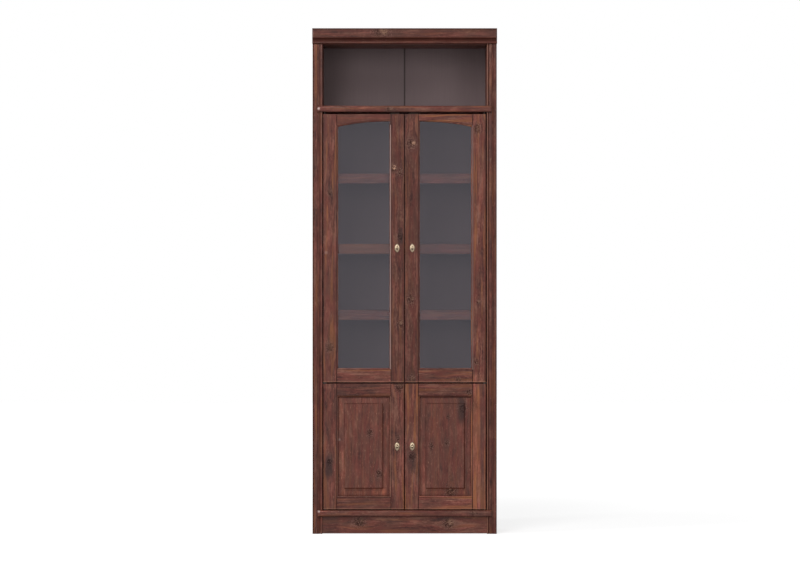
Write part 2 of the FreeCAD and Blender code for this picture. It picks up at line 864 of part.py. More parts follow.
add_pair("end_panel_SIDE", end_panel())
add_pair("side_panel_SIDE", side_panel())
pieces["top_panel"] = top_panel()
pieces["cornice"] = cornice()
pieces["counter_board"] = counter_board()
pieces["counter_nosing"] = nosing(counter_top)
pieces["middle_board"] = middle_board()
pieces["bottom_board"] = bottom_board()
pieces["base_nosing"] = nosing(bottom_board_top)
pieces["plinth_board"] = plinth()
add_pair("back_panel_SIDE", back_panel())
pieces["back_joint_strip"] = joint_strip()
for number, top in enumerate(upper_shelf_tops, 1):
    pieces["upper_shelf_%d" % number] = shelf(top)
pieces["lower_shelf"] = shelf(lower_shelf_top)
pieces["shelf_lips"] = Part.makeCompound(
    [shelf_lip(top) for top in upper_shelf_tops + [lower_shelf_top]])
pieces["shelf_pins"] = Part.makeCompound(shelf_pins())
pieces["board_pivot_pins"] = Part.makeCompound(both_sides(board_pivot_pins()))
pieces["middle_pivots"] = Part.makeCompound(both_sides([middle_pivot()]))
pieces["magnetic_catches"] = Part.makeCompound(
    both_sides([catch(counter_bottom), catch(middle_board_top - board_thickness)]))
pieces["wall_brackets"] = Part.makeCompound(both_sides([wall_bracket()]))
pieces["case_screws"] = Part.makeCompound(
    back_screws() + both_sides(leaf_screws()) + both_sides(bracket_screws()))

glazed_room = glass_room(upper_sight_low, upper_sight_high)
members = door_members(upper_door_bottom, upper_door_top, upper_sight_low, upper_sight_high,
                       True, glazed_room)
upper_strike_z = upper_door_top - strike_edge_gap - strike_width / 2
add_pair("upper_SIDE_outer_stile", members[0])
add_pair("upper_SIDE_inner_stile",
         members[1].cut(Part.makeCompound([knob_hole(upper_knob_height),
                                           strike_screw(upper_strike_z)])))
add_pair("upper_SIDE_arched_rail", members[2])
add_pair("upper_SIDE_bottom_rail", members[3])
add_pair("upper_SIDE_glass", glass_pane(upper_sight_low, upper_sight_high))
add_pair("upper_SIDE_glazing_beads",
         Part.makeCompound(glazing_beads(upper_sight_low, upper_sight_high)))
add_pair("upper_SIDE_pivot_bushes",
         Part.makeCompound([bush(upper_door_bottom, 1), bush(upper_door_top, -1)]))
add_pair("upper_SIDE_strike_plate", strike(upper_strike_z))
add_pair("upper_SIDE_knob", Part.makeCompound(knob(upper_knob_height)))

members = door_members(lower_door_bottom, lower_door_top, lower_sight_low, lower_sight_high,
                       False, panel_room(lower_sight_low, lower_sight_high))
lower_strike_z = middle_board_top - board_thickness - catch_height / 2
add_pair("lower_SIDE_outer_stile", members[0])
add_pair("lower_SIDE_inner_stile",
         members[1].cut(Part.makeCompound([knob_hole(lower_knob_height),
                                           strike_screw(lower_strike_z)])))
add_pair("lower_SIDE_top_rail", members[2])
add_pair("lower_SIDE_bottom_rail", members[3])
add_pair("lower_SIDE_panel", raised_panel(lower_sight_low, lower_sight_high))
add_pair("lower_SIDE_pivot_bushes",
         Part.makeCompound([bush(lower_door_bottom, 1), bush(lower_door_top, -1)]))
add_pair("lower_SIDE_strike_plate", strike(lower_strike_z))
add_pair("lower_SIDE_knob", Part.makeCompound(knob(lower_knob_height)))

os.makedirs("parts", exist_ok=True)
for name, shape in pieces.items():
    shape.exportStep("parts/%s.step" % name)
print(len(pieces), "sub-parts")
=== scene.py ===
import math

import bpy
import numpy as np
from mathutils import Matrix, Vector


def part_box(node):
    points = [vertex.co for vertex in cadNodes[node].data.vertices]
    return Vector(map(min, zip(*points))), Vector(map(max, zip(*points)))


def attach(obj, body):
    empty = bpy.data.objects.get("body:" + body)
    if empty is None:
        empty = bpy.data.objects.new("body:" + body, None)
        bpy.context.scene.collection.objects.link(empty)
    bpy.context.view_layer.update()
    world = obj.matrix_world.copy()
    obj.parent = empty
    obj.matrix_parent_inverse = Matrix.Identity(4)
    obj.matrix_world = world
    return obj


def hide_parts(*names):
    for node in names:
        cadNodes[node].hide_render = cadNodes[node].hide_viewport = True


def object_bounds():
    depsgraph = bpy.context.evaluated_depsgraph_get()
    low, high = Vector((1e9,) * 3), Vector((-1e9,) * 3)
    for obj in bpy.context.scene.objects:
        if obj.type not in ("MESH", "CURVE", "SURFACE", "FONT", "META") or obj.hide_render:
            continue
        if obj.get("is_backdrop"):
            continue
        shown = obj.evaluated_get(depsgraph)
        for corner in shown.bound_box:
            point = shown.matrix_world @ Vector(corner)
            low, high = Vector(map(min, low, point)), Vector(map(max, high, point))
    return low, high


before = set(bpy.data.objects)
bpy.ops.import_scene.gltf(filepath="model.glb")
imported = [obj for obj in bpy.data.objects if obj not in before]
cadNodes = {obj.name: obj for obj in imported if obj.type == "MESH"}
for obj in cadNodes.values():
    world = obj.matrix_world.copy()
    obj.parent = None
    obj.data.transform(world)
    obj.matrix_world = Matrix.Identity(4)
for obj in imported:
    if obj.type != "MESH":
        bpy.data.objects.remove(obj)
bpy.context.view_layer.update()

scene = bpy.context.scene
print("frame loaded:", len(cadNodes), "nodes")

# a level camera far in front, a little left of the middle; widthSeen is how much of the front
# it takes in
cameraPlace = {"distance": 14.0, "height": 1.0919, "side": -0.0203, "frontY": -0.135,
               "widthSeen": 3.4816, "sensor": 36.0, "clipEnd": 100.0}


def makeCamera(place):
    data = bpy.data.cameras.new("camera")
    data.sensor_width = place["sensor"]
    data.lens = place["sensor"] * place["distance"] / place["widthSeen"]
    data.clip_end = place["clipEnd"]
    camera = bpy.data.objects.new("camera", data)
    camera.location = (place["side"], place["frontY"] - place["distance"], place["height"])
    camera.rotation_euler = (math.pi / 2, 0, 0)
    scene.collection.objects.link(camera)
    scene.camera = camera


makeCamera(cameraPlace)
scene.view_settings.view_transform = "Standard"
print("camera placed")

# ambient is what the room gives the object, the white beyond it is only seen or mirrored;
# a lamp is given by its angle left of the front, its height angle and how far away it hangs
studio = {
    "ambient": 0.36, "aim": (0.0, 0.0, 1.1),
    "floorColour": (0.45, 0.45, 0.45, 1), "floorLiftNear": 0.72, "floorLiftFar": 0.94,
    "floorNear": 1.0, "floorFar": 4.5, "floorSize": 30.0,
    "lamps": {"key": {"left": 14, "up": 42, "away": 7.5, "size": 3.0, "power": 150},
              "leftSide": {"left": 22, "up": 12, "away": 8.0, "size": 3.6, "power": 160},
              "rightSide": {"left": -26, "up": 12, "away": 8.0, "size": 3.6, "power": 110},
              "rim": {"left": 60, "up": 22, "away": 5.0, "size": 0.8, "power": 75}},
}


# links a socket to another node's, or sets it to a number or colour
def feed(socket, value):
    if isinstance(value, bpy.types.NodeSocket):
        socket.id_data.links.new(value, socket)
    else:
        socket.default_value = value


def put(tree, kind, inputs=None, **settings):
    node = tree.nodes.new(kind)
    for key, value in settings.items():
        setattr(node, key, value)
    for key, value in (inputs or {}).items():
        feed(node.inputs[key], value)
    return node


# a node in the tree of the first socket among its inputs
def joined(kind, inputs, **settings):
    sockets = (value for value in inputs.values() if isinstance(value, bpy.types.NodeSocket))
    return put(next(sockets).id_data, kind, inputs, **settings)


def calc(operation, *values, clamp=False):
    return joined("ShaderNodeMath", dict(enumerate(values)), operation=operation,
                  use_clamp=clamp).outputs[0]


def times(first, second):
    return calc("MULTIPLY", first, second)


# value times share, plus base
def scaled(value, share, base):
    return calc("MULTIPLY_ADD", value, share, base)


def average(first, second):
    return scaled(first, 0.5, times(second, 0.5))


# root of the sum of both squares
def distance(x, y):
    return calc("SQRT", calc("ADD", times(x, x), times(y, y)))


# smooth step of value from low to high
def between(value, low, high, toLow=0.0, toHigh=1.0):
    inputs = {"Value": value, "From Min": low, "From Max": high, "To Min": toLow,
              "To Max": toHigh}
    return joined("ShaderNodeMapRange", inputs, interpolation_type="SMOOTHSTEP").outputs[0]


# factor, first and second colour are inputs 0, 6 and 7 of the node, its colour is output 2
def mixed(factor, first, second, blend="MIX"):
    return joined("ShaderNodeMix", {0: factor, 6: first, 7: second}, data_type="RGBA",
                  blend_type=blend).outputs[2]


def vector(x, y, z):
    return joined("ShaderNodeCombineXYZ", {0: x, 1: y, 2: z}).outputs[0]


def split(place):
    return joined("ShaderNodeSeparateXYZ", {0: place}).outputs


# a place whose x and y are stretched by their two shares
def stretched(x, y, shares, z):
    return vector(times(x, shares[0]), times(y, shares[1]), z)


def objectPlace(tree):
    return put(tree, "ShaderNodeTexCoord").outputs["Object"]


def noise(place, detail=2.0, rough=0.5, scale=1.0):
    return joined("ShaderNodeTexNoise", {"Vector": place, "Scale": scale, "Detail": detail,
                                         "Roughness": rough}).outputs[0]


# a node group whose inputs are the place on a board and plain numbers
def newGroup(name, numbers, outputs):
    tree = bpy.data.node_groups.new(name, "ShaderNodeTree")
    tree.interface.new_socket("Board", in_out="INPUT", socket_type="NodeSocketVector")
    for key in numbers:
        tree.interface.new_socket(key, in_out="INPUT", socket_type="NodeSocketFloat")
    for key, kind in outputs.items():
        tree.interface.new_socket(key, in_out="OUTPUT", socket_type="NodeSocket" + kind)
    return tree, tree.nodes.new("NodeGroupInput").outputs, tree.nodes.new("NodeGroupOutput").inputs


def newMaterial(name):
    material = bpy.data.materials.new(name)
    material.use_nodes = True
    tree = material.node_tree
    tree.nodes.clear()
    return material, tree, put(tree, "ShaderNodeOutputMaterial").inputs["Surface"]


# one for rays that see or mirror the surroundings, none for those that carry their light
def seenShare(tree):
    path = put(tree, "ShaderNodeLightPath").outputs
    return calc("MAXIMUM", path["Is Camera Ray"],
                calc("MAXIMUM", path["Is Glossy Ray"], path["Is Transmission Ray"]))


def makeWorld(look):
    world = bpy.data.worlds.new("studio")
    world.use_nodes = True
    scene.world = world
    tree = world.node_tree
    tree.nodes.clear()
    strength = between(seenShare(tree), 0.0, 1.0, look["ambient"], 1.0)
    back = put(tree, "ShaderNodeBackground", {"Color": (1, 1, 1, 1), "Strength": strength})
    put(tree, "ShaderNodeOutputWorld", {"Surface": back.outputs[0]})


# a lamp stands on a ball round the aim, at its own two angles
def makeLamps(look):
    for name, lamp in look["lamps"].items():
        data = bpy.data.lights.new(name, "AREA")
        data.shape = "DISK"
        data.size = lamp["size"]
        data.energy = lamp["power"]
        left, up = math.radians(lamp["left"]), math.radians(lamp["up"])
        toward = Vector((-math.sin(left) * math.cos(up), -math.cos(left) * math.cos(up),
                         math.sin(up)))
        thing = bpy.data.objects.new(name, data)
        thing.location = Vector(look["aim"]) + lamp["away"] * toward
        thing.rotation_euler = (-toward).to_track_quat("-Z", "Y").to_euler()
        scene.collection.objects.link(thing)


# a pale square that glows a little, more so far off, so that it runs out into the white
def makeFloor(look):
    half = look["floorSize"] / 2
    mesh = bpy.data.meshes.new("floor")
    mesh.from_pydata([(-half, -half, 0), (half, -half, 0), (half, half, 0), (-half, half, 0)],
                     [], [(0, 1, 2, 3)])
    floor = bpy.data.objects.new("floor", mesh)
    scene.collection.objects.link(floor)
    material, tree, surface = newMaterial("paleFloor")
    away = put(tree, "ShaderNodeVectorMath", {0: objectPlace(tree)}, operation="LENGTH")
    lift = between(away.outputs["Value"], look["floorNear"], look["floorFar"],
                   look["floorLiftNear"], look["floorLiftFar"])
    paint = put(tree, "ShaderNodeBsdfDiffuse", {"Color": look["floorColour"]})
    glow = put(tree, "ShaderNodeEmission", {"Strength": times(seenShare(tree), lift)})
    both = put(tree, "ShaderNodeAddShader", {0: paint.outputs[0], 1: glow.outputs[0]})
    feed(surface, both.outputs[0])
    mesh.materials.append(material)
    floor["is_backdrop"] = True


makeWorld(studio)
makeLamps(studio)
makeFloor(studio)
print("studio made")

# dark stained pine in linear colours; the three that lighten, redden and grey multiply what they
# cover
pineShades = {
    "dark": (0.045, 0.0142, 0.0118, 1), "mid": (0.103, 0.0330, 0.0240, 1),
    "light": (0.182, 0.0690, 0.0490, 1), "orange": (0.230, 0.0820, 0.0310, 1),
    # the groove colour is dark stain in joints, and painted shade in hollows, crevices and on
    # edges turned from the light
    "soot": (0.020, 0.0105, 0.0110, 1), "groove": (0.040, 0.0095, 0.0055, 1),
    # the fleck colour is flecks in the grain, and also painted highlights on arrises
    "fleck": (0.300, 0.1450, 0.0950, 1), "worn": (0.520, 0.400, 0.370, 1),
    # the pale colour is painted highlights on the arrises beside the panes
    "pale": (0.330, 0.215, 0.190, 1), "knotDark": (0.027, 0.0110, 0.0080, 1),
    "knotTan": (0.480, 0.270, 0.180, 1), "curl": (0.270, 0.140, 0.110, 1),
    # the lightening colour brings out lighter wood, and paints light on the panels' bevels
    "sunny": (1.55, 1.55, 1.40, 1), "redder": (1.06, 0.90, 0.92, 1),
    "greyer": (0.95, 1.06, 1.04, 1),
}

# its grain, in metres: a layer of streaks is (width, length, its noise's offset and, if need
# be, detail), a streak of the blend (width, length, share). A span is (low, high) of the smooth
# step that brings something in and, if need be, what low and high become. Pushes, tones and
# the like are (share, base)
pineGrain = {
    "stripShift": 0.35, "stripSlip": 5.0, "seedSlip": 1.7, "stripTone": (0.14, 0.93),
    "glueLine": 0.0006, "glueShare": 0.6,
    "drift": (2.0, 1.1), "driftDetail": 1.0, "driftPush": (0.12, -0.06),
    "sway": (16.0, 4.0), "swayPush": (0.010, -0.005),
    "pithDepth": 0.06, "ringWidth": 0.0036, "ringShade": 0.25,
    "lateSpan": (0.35, 0.9), "lateEnd": (1.0, 0.93),
    "driftFollow": 0.35, "throughFollow": 0.8, "streakRough": 0.55,
    "streaks": ((0.0220, 0.36, 0.30), (0.0080, 0.15, 0.34), (0.0028, 0.050, 0.18),
                (0.0060, 0.014, 0.22)),
    "streakOffset": 3.1, "streakStep": 9.7, "middle": 0.5,
    "calm": (0.045, 0.17, 15.9), "calmSpan": (0.38, 0.62, 0.45, 1.45),
    "patch": (0.028, 0.075, 95.5), "patchShare": 0.34,
    "midSpan": (0.36, 0.50), "lightSpan": (0.50, 0.64),
    "hue": (0.020, 0.090, 83.1), "hueSpan": (0.36, 0.64),
    "warm": (0.0120, 0.30, 41.9), "warmSpan": (0.50, 0.64),
    "line": (0.0026, 0.11, 57.3), "lineSpan": (0.60, 0.70), "lineShare": 0.5,
    "dash": (0.0018, 0.018, 71.7, 1.0), "dashSpan": (0.66, 0.76), "dashShare": 0.6,
    "smudge": (34.0, 9.0), "smudgeOffset": 31.0, "smudgeNoise": (3.0, 0.6),
    "smudgeSpan": (0.56, 0.74),
    "fine": (900.0, 20.0), "roughSpan": (0.3, 0.7, 0.36, 0.52),
}

# its knots: each noise is (detail, roughness, scale), a span is measured in knot radii
knotLook = {
    "outline": (4.0, 0.75, 210.0), "ragged": (3.4, -0.7), "squeeze": 0.8,
    "pull": -0.65, "pullFall": -0.22, "speck": (2.0, 0.6, 380.0),
    "swirl": (2.0, 0.55, 120.0), "swirlTurns": 30.0, "ringTurns": 2.5,
    "coreSpan": (1.30, 0.80), "ringSpan": (0.5, -0.3, 0.2, 1.0),
    "curlSpan": (1.9, 1.3), "curlRings": (0.2, 0.9), "curlSpecks": (0.42, 0.56),
    "haloSpan": (2.3, 0.3), "tanAside": (-0.35, -0.45), "tanSpan": (0.95, 0.40),
    "tanSpecks": (0.86, 1.06),
    "shares": {"Halo": 0.36, "Core": 0.95, "Curl": 0.7}, "coreDull": 0.8,
    "shades": {"Halo": "soot", "Core": "knotDark", "Curl": "curl", "Tan": "knotTan"},
}

# its lacquer, and painted shade that darkens quirks, joints and corners where ambient occlusion
# finds them
pineFinish = {
    "creviceShadeReach": 0.006, "creviceShadeSamples": 4, "creviceShadeSpan": (0.85, 0.30),
    "creviceShadeShare": 0.8, "spotHeart": 0.2, "bump": 0.35, "relief": 0.0004,
    "gloss": 0.10, "coat": 0.16, "coatRough": 0.16,
}


# a knot pushes the fibres aside: the shift grows from nothing far off to most of the distance
# at its heart; its outline is a circle whose radius is changed by noise
def makeKnotGroup(look):
    tree, got, give = newGroup(
        "pineKnot", ("Across", "Along", "Radius", "Tail"),
        {"Board": "Vector", "Core": "Float", "Halo": "Float", "Tan": "Float", "Curl": "Float"})
    board, radius = got["Board"], got["Radius"]
    parts = split(board)
    across = calc("SUBTRACT", parts[0], got["Across"])
    along = calc("SUBTRACT", parts[1], got["Along"])
    ragged = scaled(noise(board, *look["outline"]), *look["ragged"])

    # length of the offset (x, y times share), in knot radii
    def radii(x, y, share):
        return calc("DIVIDE", distance(x, times(y, share)), radius)

    near = radii(across, along, look["squeeze"])
    far = radii(across, along, got["Tail"])
    pull = calc("EXPONENT", times(times(far, far), look["pullFall"]))
    shift = times(times(across, pull), look["pull"])
    moved = joined("ShaderNodeVectorMath", {0: board, 1: vector(shift, 0.0, 0.0)},
                   operation="ADD")
    feed(give["Board"], moved.outputs[0])
    edge = times(near, ragged)
    speck = noise(board, *look["speck"])
    # its rings are broken up: sine of the distance and of a coarser noise
    swirl = noise(board, *look["swirl"])
    rings = calc("SINE", scaled(swirl, look["swirlTurns"], times(near, look["ringTurns"])))
    feed(give["Core"], times(between(edge, *look["coreSpan"]), between(rings, *look["ringSpan"])))
    curl = times(between(rings, *look["curlRings"]), between(speck, *look["curlSpecks"]))
    feed(give["Curl"], times(curl, between(edge, *look["curlSpan"])))
    feed(give["Halo"], between(times(far, ragged), *look["haloSpan"]))
    # the light wood inside a knot lies to one side of its heart
    aside = radii(scaled(radius, look["tanAside"][0], across),
                  scaled(radius, look["tanAside"][1], along), 1.0)
    patch = between(times(aside, ragged), *look["tanSpan"])
    specks = between(calc("ADD", speck, swirl), *look["tanSpecks"])
    feed(give["Tan"], times(patch, specks))
    return tree


def makePineGroup(look, shades):
    tree, got, give = newGroup(
        "pineGrain",
        ("Seed", "Strip", "Pith", "Depth", "Tone", "Warmth", "Smudge", "Contrast"),
        {"Colour": "Color", "Height": "Float", "Rough": "Float"})
    seed, strip = got["Seed"], got["Strip"]
    across, along, through = split(got["Board"])

    # glued strips: each has its own cut of the tree
    count = calc("DIVIDE", across, strip)
    index = calc("FLOOR", count)
    own = joined("ShaderNodeTexWhiteNoise", {"Vector": vector(index, seed, 0.0)},
                 noise_dimensions="3D")
    ownShift, ownSlip, ownTone = split(own.outputs["Color"])
    edge = calc("SUBTRACT", calc("SUBTRACT", count, index), 0.5)
    edge = times(calc("SUBTRACT", 0.5, calc("ABSOLUTE", edge)), strip)
    glue = between(edge, look["glueLine"], 0.0)
    across = scaled(ownShift, look["stripShift"], across)
    along = scaled(ownSlip, look["stripSlip"], along)
    along = scaled(seed, look["seedSlip"], along)

    # rings about a pith behind the face, which wanders along the board: the distance from it,
    # counted in ring widths
    drift = noise(stretched(across, along, look["drift"], seed), look["driftDetail"])
    drift = scaled(drift, *look["driftPush"])
    sway = noise(stretched(across, along, look["sway"], times(through, look["sway"][0])))
    sway = scaled(sway, *look["swayPush"])
    pith = scaled(ownShift, look["stripShift"], got["Pith"])
    aside = calc("ADD", calc("SUBTRACT", across, pith), drift)
    ring = distance(aside, calc("ADD", through, got["Depth"]))
    ring = calc("DIVIDE", calc("ADD", ring, sway), look["ringWidth"])
    turn = calc("FRACT", ring)
    late = times(between(turn, *look["lateSpan"]), between(turn, *look["lateEnd"]))

    # streaks run along the fibres, which drift and sway as the rings do
    fibre = calc("ADD", across, scaled(drift, look["driftFollow"], sway))
    fibre = scaled(through, look["throughFollow"], fibre)

    def streak(width, length, offset, detail=2.0):
        place = vector(calc("DIVIDE", fibre, width),
                       calc("DIVIDE", along, length), calc("ADD", seed, offset))
        return noise(place, detail, look["streakRough"])

    def layer(key):
        return between(streak(*look[key]), *look[key + "Span"])

    blend = 0.0
    for number, (width, length, share) in enumerate(look["streaks"]):
        offset = look["streakOffset"] + look["streakStep"] * number
        blend = scaled(streak(width, length, offset), share, blend)
    lively = times(layer("calm"), got["Contrast"])
    blend = scaled(calc("SUBTRACT", blend, look["middle"]), lively, look["middle"])
    patch = calc("SUBTRACT", streak(*look["patch"]), look["middle"])
    blend = scaled(patch, look["patchShare"], blend)
    colour = mixed(between(blend, *look["midSpan"]), shades["dark"], shades["mid"])
    colour = mixed(between(blend, *look["lightSpan"]), colour, shades["light"])
    hue = mixed(layer("hue"), shades["redder"], shades["greyer"])
    colour = mixed(1.0, colour, hue, "MULTIPLY")
    colour = mixed(times(layer("warm"), got["Warmth"]), colour, shades["orange"])
    line = times(times(layer("line"), lively), look["lineShare"])
    colour = mixed(line, colour, shades["soot"])
    colour = mixed(times(late, look["ringShade"]), colour, shades["dark"])
    colour = mixed(times(layer("dash"), look["dashShare"]), colour, shades["fleck"])

    # stain that soaked in unevenly, the strips' own tone and the dark lines of their glue
    smudge = stretched(fibre, along, look["smudge"], calc("ADD", seed, look["smudgeOffset"]))
    smudge = between(noise(smudge, *look["smudgeNoise"]), *look["smudgeSpan"])
    colour = mixed(times(smudge, got["Smudge"]), colour, shades["soot"])
    tone = times(got["Tone"], scaled(ownTone, *look["stripTone"]))
    colour = mixed(1.0, colour, vector(tone, tone, tone), "MULTIPLY")
    colour = mixed(times(glue, look["glueShare"]), colour, shades["soot"])
    feed(give["Colour"], colour)

    fine = noise(stretched(fibre, along, look["fine"], seed))
    feed(give["Height"], average(late, fine))
    feed(give["Rough"], between(fine, *look["roughSpan"]))
    return tree


knotGroup = makeKnotGroup(knotLook)
pineGroup = makePineGroup(pineGrain, pineShades)

# the object's axes along the board's width, length and thickness
boardAxes = {"upright": (0, 2, 1), "crosswise": (2, 0, 1), "flat": (1, 0, 2), "side": (1, 2, 0)}


# a principled shader over a bump of the height
def shaded(surface, look, height, inputs):
    bump = joined("ShaderNodeBump", {"Strength": look["bump"], "Distance": look["relief"],
                                     "Height": height})
    shader = joined("ShaderNodeBsdfPrincipled", dict(inputs, Normal=bump.outputs[0]))
    feed(surface, shader.outputs[0])


# one inside low to high, falling to none over soft
def inBand(value, low, high, soft):
    return times(between(value, low - soft, low), between(value, high + soft, high))


# the lightening shade multiplies the grain lighter, the others cover it; the covers are real stain
# and wood as well as painted light and painted shade
def coverWithStainAndLight(share, colour, shade):
    cover = pineShades[shade]
    if shade == "sunny":
        cover = mixed(1.0, colour, cover, "MULTIPLY")
    return mixed(share, colour, cover)


# knots are (across, along, radius, tan share, tail) on the board; start is the depth of its
# face. Bands of another shade, some real stain and wood and some painted light and painted shade,
# are (axis, low, high, soft, share, shade), and where a band ends within the board also that axis
# with its low and high. Areas are (x low, high, soft, z low, high, soft, share, shade). Pale spots
# on the arrises are (x, z, radius, share), those on the nosings' ends painted highlights. A strip
# wider than the board leaves it in one piece
def pineMaterial(name, way, seed, start, pith, tone=1.0, warmth=0.5, smudge=0.35, strip=9.0,
                 contrast=1.0, knots=(), bands=(), areas=(), worn=()):
    material, tree, surface = newMaterial(name)
    parts = split(objectPlace(tree))
    across, along, through = (parts[axis] for axis in boardAxes[way])
    board = vector(across, along, calc("SUBTRACT", through, start))
    marks = {}
    for knotAcross, knotAlong, radius, tanShare, tail in knots:
        knot = put(tree, "ShaderNodeGroup",
                   {"Board": board, "Across": knotAcross, "Along": knotAlong,
                    "Radius": radius, "Tail": tail}, node_tree=knotGroup)
        board = knot.outputs["Board"]
        for key, share in dict(knotLook["shares"], Tan=tanShare).items():
            here = times(knot.outputs[key], share)
            marks[key] = calc("MAXIMUM", marks[key], here) if key in marks else here
    grain = put(tree, "ShaderNodeGroup",
                {"Board": board, "Seed": seed, "Strip": strip, "Pith": pith,
                 "Depth": pineGrain["pithDepth"], "Tone": tone, "Warmth": warmth,
                 "Smudge": smudge, "Contrast": contrast},
                node_tree=pineGroup)
    colour = grain.outputs["Colour"]
    for key, mark in marks.items():
        colour = mixed(mark, colour, pineShades[knotLook["shades"][key]])
    dull = times(marks["Core"], knotLook["coreDull"]) if marks else 0.0
    covers = []
    for axis, low, high, soft, share, shade, *end in bands:
        inside = times(inBand(parts[axis], low, high, soft), share)
        if end:
            inside = times(inside, inBand(parts[end[0]], *end[1:], soft))
        covers.append((inside, shade))
    for lowX, highX, softX, lowZ, highZ, softZ, share, shade in areas:
        inside = times(inBand(parts[0], lowX, highX, softX), inBand(parts[2], lowZ, highZ, softZ))
        covers.append((times(inside, share), shade))
    for inside, shade in covers:
        colour = coverWithStainAndLight(inside, colour, shade)
        if shade == "groove":
            dull = calc("MAXIMUM", dull, inside)
    # pale spots, those on the nosings' rounded ends painted highlights
    for x, z, radius, share in worn:
        off = joined("ShaderNodeVectorMath",
                     {0: vector(parts[0], 0.0, parts[2]), 1: (x, 0.0, z)},
                     operation="DISTANCE").outputs["Value"]
        spot = between(off, radius, radius * pineFinish["spotHeart"])
        colour = mixed(times(spot, share), colour, pineShades["worn"])
    # painted shade: the wood turns darker where ambient occlusion finds a crevice
    openness = put(tree, "ShaderNodeAmbientOcclusion", {"Distance": pineFinish["creviceShadeReach"]},
                   samples=pineFinish["creviceShadeSamples"]).outputs["AO"]
    creviceShade = times(between(openness, *pineFinish["creviceShadeSpan"]), pineFinish["creviceShadeShare"])
    colour = mixed(creviceShade, colour, pineShades["groove"])
    shine = calc("SUBTRACT", 1.0, calc("MAXIMUM", dull, creviceShade))
    shaded(surface, pineFinish, grain.outputs["Height"],
           {"Base Color": colour, "Roughness": grain.outputs["Rough"],
            "Specular IOR Level": times(shine, pineFinish["gloss"]),
            "Coat Weight": times(shine, pineFinish["coat"]),
            "Coat Roughness": pineFinish["coatRough"]})
    return material


def tinted(colour, share):
    return tuple(min(1.0, part * share) for part in colour[:3]) + (1,)


# what all plain finishes share: the noise's detail and roughness, and the spans of it over
# which shade and roughness change
plainLook = {"noise": (3.0, 0.6), "shadeSpan": (0.35, 0.65), "roughSpan": (0.3, 0.7),
             "patinaSpread": 0.8, "bump": 0.3, "relief": 0.0001}


# colour and roughness vary a little with a fine noise; the last colour is the metal's patina and
# painted shade, laid where the mesh's own value of the same name is high
def plainMaterial(name, colour, metallic=0.0, rough=(0.5, 0.6), grain=200.0, spread=0.12,
                  gloss=0.5, patinaAndShade=None):
    material, tree, surface = newMaterial(name)
    cloud = noise(objectPlace(tree), *plainLook["noise"], grain)
    shade = mixed(between(cloud, *plainLook["shadeSpan"]),
                  tinted(colour, 1 - spread), tinted(colour, 1 + spread))
    if patinaAndShade:
        worn = put(tree, "ShaderNodeAttribute", attribute_name="patinaAndShade").outputs["Fac"]
        worn = calc("MULTIPLY_ADD", calc("SUBTRACT", cloud, 0.5),
                    plainLook["patinaSpread"], worn, clamp=True)
        shade = mixed(worn, shade, patinaAndShade)
    shaded(surface, plainLook, cloud,
           {"Base Color": shade, "Metallic": metallic, "Specular IOR Level": gloss,
            "Roughness": between(cloud, *plainLook["roughSpan"], *rough)})
    return material


# thin printed board: faint upright fibres on a matt grey-brown, stretched by (x, z)
backLook = {
    "fibre": (260.0, 5.0), "fibreDetail": 3.0, "cloud": (9.0, 3.0),
    "shadeSpan": (0.38, 0.62), "spread": 0.04, "roughSpan": (0.3, 0.7, 0.6, 0.7),
    "gloss": 0.1, "bump": 0.15, "relief": 0.0001,
}


def backMaterial(name, colour, seed, look):
    material, tree, surface = newMaterial(name)
    x, _, z = split(objectPlace(tree))
    fibre = noise(stretched(x, z, look["fibre"], seed), look["fibreDetail"])
    cloud = noise(stretched(x, z, look["cloud"], seed))
    shade = mixed(between(average(fibre, cloud), *look["shadeSpan"]),
                  tinted(colour, 1 - look["spread"]), tinted(colour, 1 + look["spread"]))
    shaded(surface, look, fibre,
           {"Base Color": shade, "Roughness": between(fibre, *look["roughSpan"]),
            "Specular IOR Level": look["gloss"]})
    return material


# smoked clear pane: lamps pass it, and it mirrors the room a little
glassLook = {"tint": (0.880, 0.880, 0.880, 1), "mirror": (0.89, 0.85, 0.97, 1),
             "mirrorIor": 1.5}


def glassMaterial(name, look):
    material, tree, surface = newMaterial(name)
    clear = put(tree, "ShaderNodeBsdfTransparent", {"Color": look["tint"]})
    mirror = put(tree, "ShaderNodeBsdfGlossy", {"Color": look["mirror"], "Roughness": 0.0})
    share = put(tree, "ShaderNodeFresnel", {"IOR": look["mirrorIor"]})
    both = put(tree, "ShaderNodeMixShader", {0: share.outputs[0], 1: clear.outputs[0],
                                             2: mirror.outputs[0]})
    feed(surface, both.outputs[0])
    return material


finishes = {
    "glass": glassMaterial("paneGlass", glassLook),
    "brass": plainMaterial("antiqueBrass", (0.402, 0.313, 0.217), 1.0, (0.24, 0.38), 900.0,
                           0.16, patinaAndShade=(0.05, 0.03, 0.022, 1)),
    "steel": plainMaterial("zincSteel", (0.56, 0.55, 0.53), 1.0, (0.3, 0.45), 700.0, 0.10),
    "darkSteel": plainMaterial("burnishedSteel", (0.045, 0.038, 0.034), 0.7, grain=700.0,
                               gloss=0.2),
    "bushPlastic": plainMaterial("bushPlastic", (0.06, 0.035, 0.028), grain=500.0, gloss=0.2),
    "catchPlastic": plainMaterial("catchPlastic", (0.05, 0.028, 0.022), grain=400.0,
                                  gloss=0.2),
    "strip": plainMaterial("jointStrip", (0.030, 0.018, 0.017), rough=(0.45, 0.55),
                           grain=300.0, gloss=0.2),
    "backLeft": backMaterial("backBoardLeft", (0.142, 0.107, 0.109), 3.0, backLook),
    "backRight": backMaterial("backBoardRight", (0.144, 0.108, 0.110), 8.0, backLook),
}
print("plain finishes made")


def dress(node, material):
    piece = cadNodes[node]
    piece.data.materials.clear()
    piece.data.materials.append(material)
